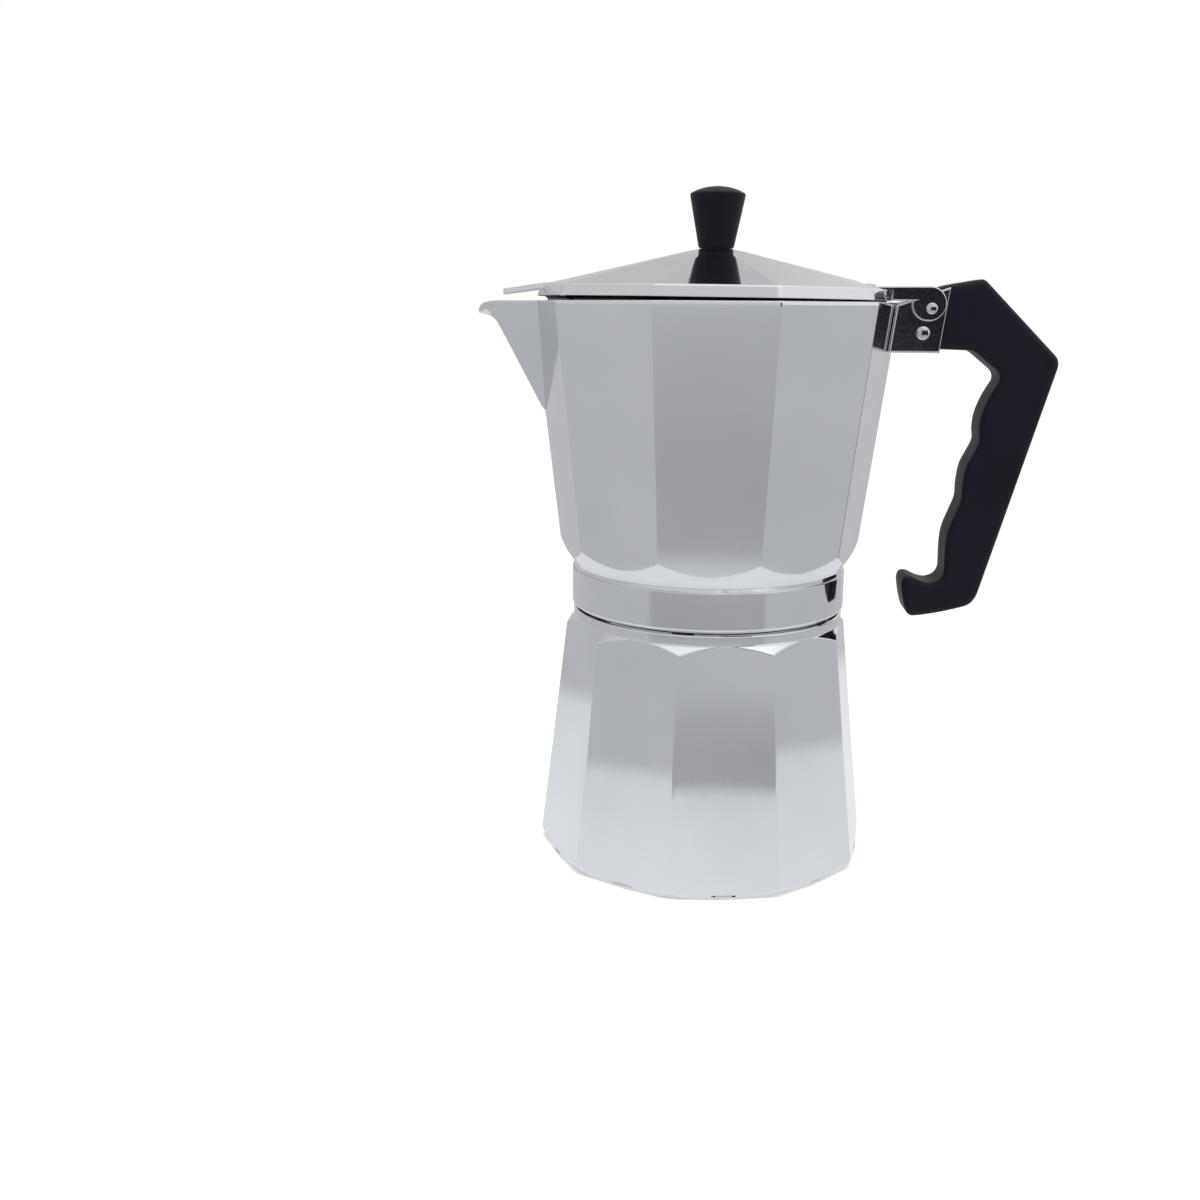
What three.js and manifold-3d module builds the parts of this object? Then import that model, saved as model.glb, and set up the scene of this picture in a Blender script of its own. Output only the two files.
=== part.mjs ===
// Ten-sided stovetop moka pot, millimetres, +Z up.
// The origin is the centre of the base; the handle points along +X and the spout along -X.
import * as THREE from 'three';
import { mergeVertices } from 'three/addons/utils/BufferGeometryUtils.js';
import Module from 'manifold-3d';

const wasm = await Module();
wasm.setup();

// ---------- driving dimensions ----------
const SIDES = 10;
const STEP = (2 * Math.PI) / SIDES;
const FLAT = Math.cos(STEP / 2);              // facet distance over corner distance
const GAP = 0.3;                              // air kept between touching pieces
const ROUND = 60;                             // facets of a large turned piece

// boiler
const BOILER_TURN = THREE.MathUtils.degToRad(7.5);  // how far its facets are turned from the collector's
const BOILER_BASE_R = 64.1;                   // corner radius at the floor
const BOILER_TAPER = 0.1166;                  // loss of corner radius per mm of height
const BOILER_TOP_Z = 94.4;
const NECK_TOP_Z = 105;
const NECK_R = 46.4;
const NECK_BORE_R = 44.4;
const THREAD_R = 1;
const THREAD_PITCH = 3;
const VALVE_Z = 58;
const VALVE_TURN = BOILER_TURN + 2.5 * STEP;  // middle of the facet at the back

// collector (the upper vessel)
const RIM_Z = 208;
const RIM_R = 67.3;                           // corner radius at the rim
const WALL_TAPER = 0.12154;                   // gain of corner radius per mm of height
const WALL = 2.9;
const BAND_R = 51.6;
const BAND_LOW_Z = 95.3;
const BAND_TOP_Z = 110;
const BAND_BORE_R = 48.7;
const FLOOR_Z = 113.5;
const CEILING_Z = 110.3;                      // underside of the collector's floor
const COLUMN_TOP_Z = 172;

// funnel, gasket and plate
const FLANGE_Z = NECK_TOP_Z + GAP;
const FLANGE_TOP_Z = FLANGE_Z + 1;
const BASKET_R = 43.6;
const BASKET_BORE_R = 42.7;
const BASKET_FLOOR_Z = 80;
const STEM_LOW_Z = 9;
const GASKET_LOW_Z = FLANGE_TOP_Z + GAP;
const GASKET_TOP_Z = CEILING_Z - GAP;

// bracket, handle and hinge
const LEAN = Math.atan(WALL_TAPER);           // lean of the collector's corner
const CHEEK_IN = 9;                           // inner face of a bracket cheek, from the middle
const CHEEK_OUT = 10.2;
const BRACKET_LOW_Z = 190.4;
const BRACKET_TOP_Z = 213.3;
const BRACKET_LENGTH = 18;
const CORNER_CUT = 1.2;                       // how deep the corner is flattened under the web
const WALL_RIVET_HOLE_R = 2.5;
const HANDLE_HALF = 8.7;
const PIN = { x: 76.7, z: 206, r: 1.4 };
const HANDLE_RIVET = { x: 74.3, z: 197.4, r: 1.8 };
const WALL_RIVET_Z = [194.5, 201.5];

// lid and knob, drawn flat and then lifted a little about the hinge pin
const LID_LIFT = THREE.MathUtils.degToRad(0.55);
const LID_LOW_Z = RIM_Z + 0.2;
const LID_EDGE_Z = 212.3;
const LID_TOP_Z = 225.7;
const LID_LOW_R = 65.4;
const LID_EDGE_R = 64.2;
const LID_TOP_R = 7.2;
const LID_WALL = 1.7;
const SEAT_Z = 212.1;
const STRAP_THICK = 1;
const STRAP_X = [52, 64.2];
const EAR_IN = CHEEK_OUT + GAP;
const EAR_OUT = EAR_IN + 1;
const KNOB_R = 10.05;
const KNOB_FOOT_R = 6.45;
const KNOB_TOP_Z = 247.6;

const cornerR = (z) => RIM_R - (RIM_Z - z) * WALL_TAPER;
const boilerR = (z) => BOILER_BASE_R - z * BOILER_TAPER;

// ---------- colours ----------
const POLISHED = { color: 0xbfc2c6, roughness: 0.12, metalness: 1 };
const SPUN = { color: 0xb4b7ba, roughness: 0.35, metalness: 1 };
const STEEL = { color: 0xa9abb0, roughness: 0.25, metalness: 1 };
const BRASS = { color: 0xb08d3f, roughness: 0.3, metalness: 1 };
const BLACK = { color: 0x1b1b22, roughness: 0.3, metalness: 0 };
const SILICONE = { color: 0xe9e6de, roughness: 0.7, metalness: 0 };

// ---------- solids ----------
function solid(geometry) {
  const bare = geometry.clone();
  bare.deleteAttribute('normal');
  bare.deleteAttribute('uv');
  const merged = mergeVertices(bare, 1e-4);
  const vertProperties = new Float32Array(merged.attributes.position.array);
  const triVerts = new Uint32Array(merged.index.array);
  return new wasm.Manifold(new wasm.Mesh({ numProp: 3, vertProperties, triVerts }));
}

function geometryOf(shape) {
  const mesh = shape.getMesh();
  const indexed = new THREE.BufferGeometry();
  indexed.setAttribute('position', new THREE.BufferAttribute(mesh.vertProperties, 3));
  indexed.setIndex(new THREE.BufferAttribute(mesh.triVerts, 1));
  const geometry = indexed.toNonIndexed();
  geometry.computeVertexNormals();
  return geometry;
}

const join = (shapes) => shapes.reduce((whole, shape) => whole.add(shape));
const cut = (shape, cutters) => cutters.reduce((rest, cutter) => rest.subtract(cutter), shape);

// A turned piece about the Z axis: points are [radius, height].
function turned(points, segments = ROUND) {
  const profile = points.map(([r, z]) => new THREE.Vector2(r, z));
  return new THREE.LatheGeometry(profile, segments).rotateX(Math.PI / 2);
}

// A turned ring whose profile closes on itself.
const ring = (points, segments) => turned([...points, points[0]], segments);

// A ten-sided frustum with a corner at the angle `turn`.
function tenSided(lowR, topR, lowZ, topZ, turn = 0) {
  const frustum = new THREE.CylinderGeometry(topR, lowR, topZ - lowZ, SIDES).rotateX(Math.PI / 2);
  return frustum.rotateZ(Math.PI / 2 + turn).translate(0, 0, (lowZ + topZ) / 2);
}

function box(x, y, z) {
  const block = new THREE.BoxGeometry(x[1] - x[0], y[1] - y[0], z[1] - z[0]);
  return block.translate((x[0] + x[1]) / 2, (y[0] + y[1]) / 2, (z[0] + z[1]) / 2);
}

// A round bar between two heights on a vertical axis.
function bar(r, lowZ, topZ, x = 0, y = 0, segments = 24) {
  const cylinder = new THREE.CylinderGeometry(r, r, topZ - lowZ, segments).rotateX(Math.PI / 2);
  return cylinder.translate(x, y, (lowZ + topZ) / 2);
}

// A round bar along Y through the point (x, z).
function crossBar(r, half, x, z, segments = 24) {
  return new THREE.CylinderGeometry(r, r, 2 * half, segments).translate(x, 0, z);
}

// An outline drawn in X and Z, extruded from y = low to y = high.
function sideExtrusion(shape, low, high, bevel = 0, curveSegments = 10) {
  const options = { depth: high - low - 2 * bevel, curveSegments, bevelEnabled: bevel > 0 };
  if (bevel > 0) {
    Object.assign(options, { bevelThickness: bevel, bevelSize: bevel, bevelOffset: -bevel, bevelSegments: 1 });
  }
  const slab = new THREE.ExtrudeGeometry(shape, options);
  return slab.rotateX(Math.PI / 2).translate(0, high - bevel, 0);
}

class Helix extends THREE.Curve {
  constructor(radius, lowZ, topZ, turns) {
    super();
    Object.assign(this, { radius, lowZ, topZ, turns });
  }

  getPoint(t, target = new THREE.Vector3()) {
    const angle = 2 * Math.PI * this.turns * t;
    const z = this.lowZ + (this.topZ - this.lowZ) * t;
    return target.set(this.radius * Math.cos(angle), this.radius * Math.sin(angle), z);
  }
}

// A round wire wound along a helix.
function wound(helix, wireR, stepsPerTurn, sides = 6) {
  const section = new THREE.Shape();
  section.absarc(0, 0, wireR, 0, 2 * Math.PI, false);
  const steps = Math.round(helix.turns * stepsPerTurn);
  const options = { extrudePath: helix, steps, curveSegments: sides, bevelEnabled: false };
  return new THREE.ExtrudeGeometry(section, options);
}

function threadRidge(radius, lowZ, turns) {
  return wound(new Helix(radius, lowZ, lowZ + turns * THREAD_PITCH, turns), THREAD_R, 24, 3);
}

// ---------- the group ----------
const pot = new THREE.Group();

function add(name, geometry, look, parent = pot) {
  const mesh = new THREE.Mesh(geometry, new THREE.MeshStandardMaterial(look));
  mesh.name = name;
  parent.add(mesh);
}

// ---------- boiler ----------
// The valve's own frame: its Z axis points straight out of the back facet.
const valveFrame = new THREE.Matrix4();
{
  const seatR = boilerR(VALVE_Z) * FLAT;
  const lift = Math.atan(BOILER_TAPER * FLAT);
  valveFrame.makeRotationZ(VALVE_TURN);
  valveFrame.multiply(new THREE.Matrix4().makeTranslation(seatR, 0, VALVE_Z));
  valveFrame.multiply(new THREE.Matrix4().makeRotationY(Math.PI / 2 - lift));
}

function boiler() {
  const facets = tenSided(boilerR(0), boilerR(BOILER_TOP_Z), 0, BOILER_TOP_Z, BOILER_TURN);
  const envelope = turned([
    [0, 0], [60.6, 0], [61.2, 0.6], [61.2, 1], [66, 5.4], [66, 75.4],
    [51, 90.4], [50.9, BOILER_TOP_Z], [0, BOILER_TOP_Z],
  ]);
  const baseRing = turned([[0, 0], [60.6, 0], [61.2, 0.6], [61.2, 1], [60.2, 2], [0, 2]]);
  const lip = turned([
    [0, 88], [49.5, 88], [51, 90.4], [51.1, 91.4], [51.1, 93.9], [50.7, BOILER_TOP_Z], [0, BOILER_TOP_Z],
  ]);
  const neck = bar(NECK_R, 90, NECK_TOP_Z, 0, 0, ROUND);
  const ridge = threadRidge(NECK_R + 0.1, BOILER_TOP_Z + 1.6, 2.4);
  const boss = bar(8, -3, 1.2).applyMatrix4(valveFrame);
  const hollow = turned([
    [0, 3.6], [52, 3.6], [55.6, 5], [57.1, 8.6], [48.4, 84], [NECK_BORE_R, 91.5], [NECK_BORE_R, 110], [0, 110],
  ]);
  const valveHole = bar(4.4, -12, 8).applyMatrix4(valveFrame);
  const outside = solid(facets).intersect(solid(envelope));
  const whole = join([outside, solid(baseRing), solid(lip), solid(neck), solid(ridge), solid(boss)]);
  return geometryOf(cut(whole, [solid(hollow), solid(valveHole)]));
}

// ---------- safety valve, drawn about its own axis with the boss face at 1.2 ----------
function valveBody() {
  const hex = new THREE.CylinderGeometry(6.3, 6.3, 3.4, 6).rotateX(Math.PI / 2).translate(0, 0, 3.2);
  const barrel = bar(4.8, 4, 7.6);
  const shank = bar(4.1, -6.5, 2);
  const whole = join([solid(hex), solid(barrel), solid(shank)]);
  return geometryOf(cut(whole, [solid(bar(3, -4, 9)), solid(bar(1.5, -8, -3))]));
}

const valveCap = () => ring([[1.25, 6.4], [2.7, 6.4], [2.7, 7.5], [1.25, 7.5]], 24);

const valvePin = () => turned([
  [0, -3.7], [2.6, -3.7], [2.6, -2.7], [0.9, -2.7], [0.9, 8.6], [0.6, 8.9], [0, 8.9],
], 20);

const valveSpring = () => wound(new Helix(1.85, -0.9, 5.8, 5), 0.3, 12, 2);

// ---------- funnel ----------
function funnelBasket() {
  const coneZ = 66;
  const collarZ = 58;
  return ring([
    [46.2, FLANGE_Z], [46.2, FLANGE_TOP_Z], [BASKET_BORE_R, FLANGE_TOP_Z],
    [BASKET_BORE_R, BASKET_FLOOR_Z + 0.4], [41.4, BASKET_FLOOR_Z + 0.4], [41.4, BASKET_FLOOR_Z - 0.4],
    [6.5, coneZ], [6.5, collarZ], [7.4, collarZ], [7.4, coneZ - 0.7],
    [42.3, BASKET_FLOOR_Z - 1.4], [BASKET_R, BASKET_FLOOR_Z - 0.4], [BASKET_R, FLANGE_Z],
  ]);
}

const funnelStem = () => ring([[5.3, STEM_LOW_Z], [6.2, STEM_LOW_Z], [6.2, 64.5], [5.3, 64.5]], 36);

// A round plate drilled in rings of 1, 6, 12, 18 ... holes.
function drilled(plate, lowZ, topZ, rings, pitch, holeR) {
  const drills = [solid(bar(holeR, lowZ, topZ, 0, 0, 8))];
  for (let k = 1; k <= rings; k += 1) {
    for (let i = 0; i < 6 * k; i += 1) {
      const angle = (i / (6 * k)) * 2 * Math.PI;
      drills.push(solid(bar(holeR, lowZ, topZ, k * pitch * Math.cos(angle), k * pitch * Math.sin(angle), 8)));
    }
  }
  return geometryOf(solid(plate).subtract(join(drills)));
}

function basketStrainer() {
  const lowZ = BASKET_FLOOR_Z + 0.7;
  const plate = turned([[0, lowZ], [42.3, lowZ], [42.3, lowZ + 1], [0, lowZ + 1]]);
  return drilled(plate, lowZ - 1, lowZ + 2, 3, 11.5, 1.4);
}

// ---------- gasket and filter plate ----------
const gasket = () => ring([
  [41, GASKET_LOW_Z], [46.9, GASKET_LOW_Z], [47.3, GASKET_LOW_Z + 0.4],
  [47.3, GASKET_TOP_Z - 0.4], [46.9, GASKET_TOP_Z], [41, GASKET_TOP_Z],
]);

function filterPlate() {
  const lowZ = GASKET_LOW_Z + 1;
  const plate = turned([
    [0, lowZ], [39.9, lowZ], [40.6, lowZ + 0.6], [40.6, GASKET_TOP_Z], [39.8, GASKET_TOP_Z],
    [39.8, lowZ + 0.9], [0, lowZ + 0.9],
  ]);
  return drilled(plate, lowZ - 1, lowZ + 2, 3, 10.8, 1.3);
}

// ---------- collector ----------
// The spout is a hollow wedge: two planes that leave the wall and meet in a sloping ridge.
const SPOUT = {
  rootZ: 166.5, kneeX: -79.2, kneeZ: 198.4, lipX: -87.2, lipZ: 203.6, topX: -83, halfWidth: 11.6,
};

// The outline of the spout seen from the side, moved in by `wall` for its hollow.
// It starts well inside the vessel.
function spoutSide(wall) {
  const rootX = -cornerR(SPOUT.rootZ);
  const innerX = -40;
  const belowZ = SPOUT.rootZ - 20;
  const rise = wall / Math.cos(Math.atan2(SPOUT.kneeX - rootX, SPOUT.kneeZ - SPOUT.rootZ));
  const side = new THREE.Shape();
  side.moveTo(innerX, belowZ + 2 * rise);
  side.lineTo(rootX + rise + 10.6, belowZ);
  side.lineTo(rootX + rise, SPOUT.rootZ);
  side.lineTo(SPOUT.kneeX + rise, SPOUT.kneeZ);
  const bendX = SPOUT.kneeX - 1.4 + rise;
  const bendZ = SPOUT.kneeZ + 3.2 + wall;
  side.quadraticCurveTo(bendX, bendZ, SPOUT.lipX, SPOUT.lipZ + wall * 0.45);
  side.quadraticCurveTo(SPOUT.lipX + 0.8, RIM_Z - 0.4, SPOUT.topX, RIM_Z);
  side.lineTo(SPOUT.topX, RIM_Z + wall);
  side.lineTo(innerX, RIM_Z + wall);
  return side;
}

// The wedge in plan is widest at the wall and closes at the ridge; it narrows downwards like the side view.
function spoutWedge(wall) {
  const side = solid(sideExtrusion(spoutSide(wall), -30, 30));
  const apexX = SPOUT.topX + wall * 2.2;
  const footX = -cornerR(RIM_Z) * FLAT;
  const half = SPOUT.halfWidth - wall * 1.1;
  const noseX = apexX - 0.6;
  const inside = 30;
  const depth = RIM_Z - SPOUT.rootZ;
  const slide = (apexX + cornerR(SPOUT.rootZ)) / depth;
  const plan = new THREE.Shape();
  plan.moveTo(noseX, 1.3);
  plan.lineTo(footX, half);
  plan.lineTo(footX + inside, half * 1.6);
  plan.lineTo(footX + inside, -half * 1.6);
  plan.lineTo(footX, -half);
  plan.lineTo(noseX, -1.3);
  plan.quadraticCurveTo(noseX - 0.8, 0, noseX, 1.3);
  const column = new THREE.ExtrudeGeometry(plan, { depth: depth + 30, bevelEnabled: false, curveSegments: 6 });
  column.translate(0, 0, -depth - 20);
  const shear = new THREE.Matrix4().set(1, 0, slide, 0, 0, 1, 0, 0, 0, 0, 1, 0, 0, 0, 0, 1);
  column.applyMatrix4(shear).translate(0, 0, RIM_Z);
  return solid(column).intersect(side);
}

// The rounded tongue at the tip that turns the pour downwards.
function spoutLip() {
  const tongue = solid(box([SPOUT.lipX - 3, SPOUT.topX + 2], [-2.6, 2.6], [196, RIM_Z + 1]));
  return tongue.intersect(solid(sideExtrusion(spoutSide(0), -30, 30)));
}

function collectorVessel() {
  const wallIn = WALL / FLAT;
  const facets = tenSided(cornerR(BAND_TOP_Z), RIM_R, BAND_TOP_Z, RIM_Z);
  const foot = turned([
    [0, BAND_TOP_Z], [51.2, BAND_TOP_Z], [51, 111.4], [51.3, 112.3], [52, 113.2], [52.9, 114.1],
    [53.4, 115.4], [57.2, 120.6], [90, 120.7], [90, RIM_Z], [0, RIM_Z],
  ]);
  const band = turned([
    [0, BAND_LOW_Z], [50.9, BAND_LOW_Z], [51.4, 95.8], [BAND_R, 96.6],
    [BAND_R, 109.6], [51.2, BAND_TOP_Z], [50, 111], [0, 111],
  ]);
  const room = tenSided(cornerR(100) - wallIn, cornerR(240) - wallIn, 100, 240);
  const roomFoot = turned([
    [0, FLOOR_Z], [48.6, FLOOR_Z], [50.6, 115], [51.4, 117], [54.2, 121], [90, 121.2], [90, 250], [0, 250],
  ]);
  const bore = turned([
    [0, 90], [BAND_BORE_R, 90], [BAND_BORE_R, CEILING_Z], [38, CEILING_Z], [12, 111.6], [0, 111.6],
  ]);
  const ridge = threadRidge(BAND_BORE_R + 0.2, BAND_LOW_Z + 1.6, 2.4);
  const pad = leaning(box([-6.6, -2.5], [-5.5, 5.5], [-10.5, 5]));
  const shell = join([
    solid(facets).intersect(solid(foot)),
    spoutWedge(0),
    spoutLip(),
    solid(band),
  ]);
  const hollow = solid(room).intersect(solid(roomFoot)).add(spoutWedge(2.2));
  const corner = solid(flatCut());
  const opened = cut(shell, [hollow, solid(bore), solid(bar(6.3, 100, 120)), corner]);
  const whole = join([opened, solid(ridge), solid(pad)]);
  return geometryOf(cut(whole, wallRivetCutters(WALL_RIVET_HOLE_R)));
}

// Geometry in a frame that leans with the collector's corner.
// X goes out, Z goes up along the corner from LEAN_Z.
const LEAN_Z = 200;
function leaning(geometry) {
  return geometry.rotateY(LEAN).translate(cornerR(LEAN_Z), 0, LEAN_Z);
}

// The corner is flattened where the bracket's web sits.
function flatCut() {
  return leaning(box([-CORNER_CUT, 20], [-30, 30], [-9.9, 30]));
}

function wallRivetCutters(r) {
  return WALL_RIVET_Z.map((z) => {
    const drill = new THREE.CylinderGeometry(r, r, 30, 20).rotateZ(Math.PI / 2).translate(0, 0, z - LEAN_Z);
    return solid(leaning(drill));
  });
}

const riserColumn = () => ring([
  [4.3, CEILING_Z + 0.4], [6, CEILING_Z + 0.4], [6, FLOOR_Z + GAP], [11, FLOOR_Z + GAP],
  [11, FLOOR_Z + 1.4], [8.8, FLOOR_Z + 3], [6.6, COLUMN_TOP_Z - 8], [5.6, COLUMN_TOP_Z - 8],
  [5.6, COLUMN_TOP_Z], [4.3, COLUMN_TOP_Z],
], 40);

// A small hat over the column with two windows for the coffee.
function columnCap() {
  const lowZ = COLUMN_TOP_Z - 7.7;
  const hat = turned([
    [0, COLUMN_TOP_Z + 4.4], [4.2, COLUMN_TOP_Z + 4.2], [5.9, COLUMN_TOP_Z + 1.8], [5.9, lowZ], [7.1, lowZ],
    [7.1, COLUMN_TOP_Z + 2], [6.4, COLUMN_TOP_Z + 4.4], [4.4, COLUMN_TOP_Z + 5.6], [0, COLUMN_TOP_Z + 6],
  ], 40);
  const window = box([-9, 9], [-2.6, 2.6], [COLUMN_TOP_Z + 0.4, COLUMN_TOP_Z + 3.4]);
  return geometryOf(solid(hat).subtract(solid(window)));
}

// ---------- bracket, rivets, handle ----------
// Plan of the folded sheet: a flat web on the corner, two slanted wings on the facets, two cheeks.
function bracketPlan() {
  const slope = Math.tan(STEP / 2);
  const near = GAP - CORNER_CUT;              // web's inner face, from the sharp corner
  const flatHalf = CORNER_CUT / slope - 0.2;
  const rear = BRACKET_LENGTH - 2.6;
  const wing = (y) => near - (y - flatHalf) * slope;
  const plan = new THREE.Shape();
  plan.moveTo(near, flatHalf);
  plan.lineTo(wing(CHEEK_OUT - 1.4), CHEEK_OUT - 1.4);
  plan.quadraticCurveTo(wing(CHEEK_OUT), CHEEK_OUT, wing(CHEEK_OUT) + 2.2, CHEEK_OUT);
  plan.lineTo(rear, CHEEK_OUT);
  plan.lineTo(rear, CHEEK_IN);
  plan.lineTo(wing(CHEEK_OUT) + 2.4, CHEEK_IN);
  plan.lineTo(near + 1.2, flatHalf + 0.4);
  plan.lineTo(near + 1.2, -flatHalf - 0.4);
  plan.lineTo(wing(CHEEK_OUT) + 2.4, -CHEEK_IN);
  plan.lineTo(rear, -CHEEK_IN);
  plan.lineTo(rear, -CHEEK_OUT);
  plan.lineTo(wing(CHEEK_OUT) + 2.2, -CHEEK_OUT);
  plan.quadraticCurveTo(wing(CHEEK_OUT), -CHEEK_OUT, wing(CHEEK_OUT - 1.4), -CHEEK_OUT + 1.4);
  plan.lineTo(near, -flatHalf);
  return plan;
}

function hingeBracket() {
  const sheet = new THREE.ExtrudeGeometry(bracketPlan(), { depth: 40, bevelEnabled: false, curveSegments: 4 });
  const folded = solid(leaning(sheet.translate(0, 0, -20)));
  const trimmed = folded.intersect(solid(box([40, 120], [-20, 20], [BRACKET_LOW_Z, BRACKET_TOP_Z])));
  const aboveWeb = solid(box([50, 90], [-CHEEK_IN, CHEEK_IN], [RIM_Z - 0.6, 230]));
  const pinHole = solid(crossBar(PIN.r + GAP, 20, PIN.x, PIN.z));
  const rivetHole = solid(crossBar(HANDLE_RIVET.r + GAP, 20, HANDLE_RIVET.x, HANDLE_RIVET.z));
  return geometryOf(cut(trimmed, [aboveWeb, pinHole, rivetHole, ...wallRivetCutters(WALL_RIVET_HOLE_R)]));
}

// A rivet lying along X in the leaning frame, its heads either side of the wall and the web.
function wallRivet(z) {
  const rivet = turned([
    [0, -9], [1.6, -8.8], [3, -8], [3.4, -6.9], [2.2, -6.9], [2.2, 0.6], [3.2, 0.6], [3.2, 1.2], [0, 1.6],
  ], 16);
  return leaning(rivet.rotateY(Math.PI / 2).translate(0, 0, z - LEAN_Z));
}

// A pin along Y with a low round head at each end.
function headedPin(pin, shankHalf, headR, headThick) {
  const end = shankHalf + headThick;
  const profile = [
    [0, -end], [headR * 0.7, -end], [headR, -end + headThick * 0.5], [headR, -shankHalf], [pin.r, -shankHalf],
    [pin.r, shankHalf], [headR, shankHalf], [headR, end - headThick * 0.5], [headR * 0.7, end], [0, end],
  ];
  return turned(profile, 16).rotateX(-Math.PI / 2).translate(pin.x, 0, pin.z);
}

function handleOutline() {
  const outline = new THREE.Shape();
  outline.moveTo(70, 191.8);
  outline.lineTo(71.8, 206);
  outline.quadraticCurveTo(72.6, 211.6, 77, 212.6);
  outline.lineTo(83.7, 214.4);
  outline.lineTo(94.2, 216.4);
  outline.quadraticCurveTo(95.4, 216.5, 96.4, 215.4);
  outline.lineTo(122, 190);
  outline.quadraticCurveTo(124, 188, 123.2, 185);
  outline.lineTo(101, 103);
  outline.quadraticCurveTo(99.8, 98.2, 96, 97);
  outline.quadraticCurveTo(86, 94, 78, 93.1);
  outline.quadraticCurveTo(75.4, 92.8, 74.5, 95.6);
  outline.quadraticCurveTo(73, 100, 72.5, 105);
  outline.quadraticCurveTo(72.5, 109.4, 76.7, 107.9);
  outline.quadraticCurveTo(80, 106, 82.7, 105.9);
  outline.quadraticCurveTo(87.8, 106.4, 87.9, 111.2);
  // the finger side: a wavy edge through its hollows and swells
  outline.splineThru([
    [87.7, 119], [88.3, 125.4], [90.7, 132.4], [92.3, 137.2], [92.4, 142.4], [93.2, 149],
    [95.3, 153.9], [97.3, 158.6], [97, 163], [97.5, 168.4], [99.8, 174.8], [102.9, 180.4],
  ].map(([x, z]) => new THREE.Vector2(x, z)));
  outline.quadraticCurveTo(103.6, 183, 101, 185);
  outline.lineTo(94.8, 190);
  outline.quadraticCurveTo(93.2, 191.4, 91, 191.4);
  outline.lineTo(70, 191.8);
  return outline;
}

function handle() {
  const grip = solid(sideExtrusion(handleOutline(), -HANDLE_HALF, HANDLE_HALF, 1.3, 4));
  const pinHole = solid(crossBar(PIN.r + 0.4, 20, PIN.x, PIN.z));
  const rivetHole = solid(crossBar(HANDLE_RIVET.r + GAP, 20, HANDLE_RIVET.x, HANDLE_RIVET.z));
  return geometryOf(cut(grip, [pinHole, rivetHole]));
}

// ---------- lid ----------
function lidShell() {
  const edge = tenSided(LID_LOW_R, LID_EDGE_R, LID_LOW_Z, LID_EDGE_Z);
  const roof = tenSided(LID_EDGE_R, LID_TOP_R, LID_EDGE_Z, LID_TOP_Z);
  const skirt = tenSided(61.6, 61.6, LID_LOW_Z - 2, LID_EDGE_Z);
  const roofRoom = tenSided(60.2, 8, LID_EDGE_Z - 0.8, LID_TOP_Z - LID_WALL - 1);
  const edgeRoom = tenSided(60.2, 60.2, LID_LOW_Z - 3, LID_EDGE_Z - 0.8);
  const pad = box([50, 61.6], [-12, 12], [210, SEAT_Z]);
  const seat = box([STRAP_X[0] - 2 * GAP, 90], [-12, 12], [SEAT_Z, 240]);
  const corner = box([62.1, 90], [-12, 12], [LID_LOW_Z - 5, 240]);
  const screwHole = bar(2.1, 210, 240);
  const strapHoles = strapRivetHoles();
  const hollow = solid(roofRoom).add(solid(edgeRoom)).subtract(solid(pad));
  const whole = join([solid(edge), solid(roof), solid(skirt), solid(beak())]);
  return geometryOf(cut(whole, [hollow, solid(seat), solid(corner), solid(screwHole), ...strapHoles]));
}

// The roof over the spout: a blunt triangle that goes on down the slope of the lid.
function beak() {
  const tipX = -77.4;
  const footX = -59;
  const plan = new THREE.Shape();
  plan.moveTo(footX, 9.6);
  plan.lineTo(tipX, 2.2);
  plan.quadraticCurveTo(tipX - 1.4, 0, tipX, -2.2);
  plan.lineTo(footX, -9.6);
  const plate = new THREE.ExtrudeGeometry(plan, { depth: 2, bevelEnabled: false, curveSegments: 6 });
  const fall = 0.16;                          // drop per mm outwards
  const shear = new THREE.Matrix4().set(1, 0, 0, 0, 0, 1, 0, 0, fall, 0, 1, 0, 0, 0, 0, 1);
  return plate.applyMatrix4(shear).translate(0, 0, 208.7 + 78 * fall);
}

const STRAP_RIVETS = [[55, 5.5], [55, -5.5]];
const strapRivetHoles = () => STRAP_RIVETS.map(([x, y]) => solid(bar(1.8, 200, 230, x, y)));

// The hinge strap: a plate riveted on the lid and an ear folded down at each side.
function lidStrap() {
  const plateZ = SEAT_Z + GAP;
  const plate = box(STRAP_X, [-EAR_OUT, EAR_OUT], [plateZ, plateZ + STRAP_THICK]);
  const ear = new THREE.Shape();
  ear.moveTo(62.4, plateZ + STRAP_THICK);
  ear.lineTo(62.4, LID_LOW_Z + 0.4);
  ear.lineTo(69.8, LID_LOW_Z + 0.4);
  ear.absarc(75.8, 207.6, 6.1, Math.PI * 0.98, Math.PI * 2.5, false);
  const sides = [[-EAR_OUT, -EAR_IN], [EAR_IN, EAR_OUT]];
  const ears = sides.map(([low, high]) => solid(sideExtrusion(ear, low, high)));
  const pinHole = solid(crossBar(PIN.r + GAP, 20, PIN.x, PIN.z));
  const rivetHoles = strapRivetHoles();
  return geometryOf(cut(join([solid(plate), ...ears]), [pinHole, ...rivetHoles]));
}

function strapRivet([x, y]) {
  const topZ = SEAT_Z + GAP + STRAP_THICK + GAP;
  const lowZ = 210 - GAP;
  const rivet = turned([
    [0, lowZ - 1], [2, lowZ - 1], [2.6, lowZ - 0.5], [2.6, lowZ], [1.5, lowZ],
    [1.5, topZ], [2.6, topZ], [2.2, topZ + 0.5], [0, topZ + 0.7],
  ], 16);
  return rivet.translate(x, y, 0);
}

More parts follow.
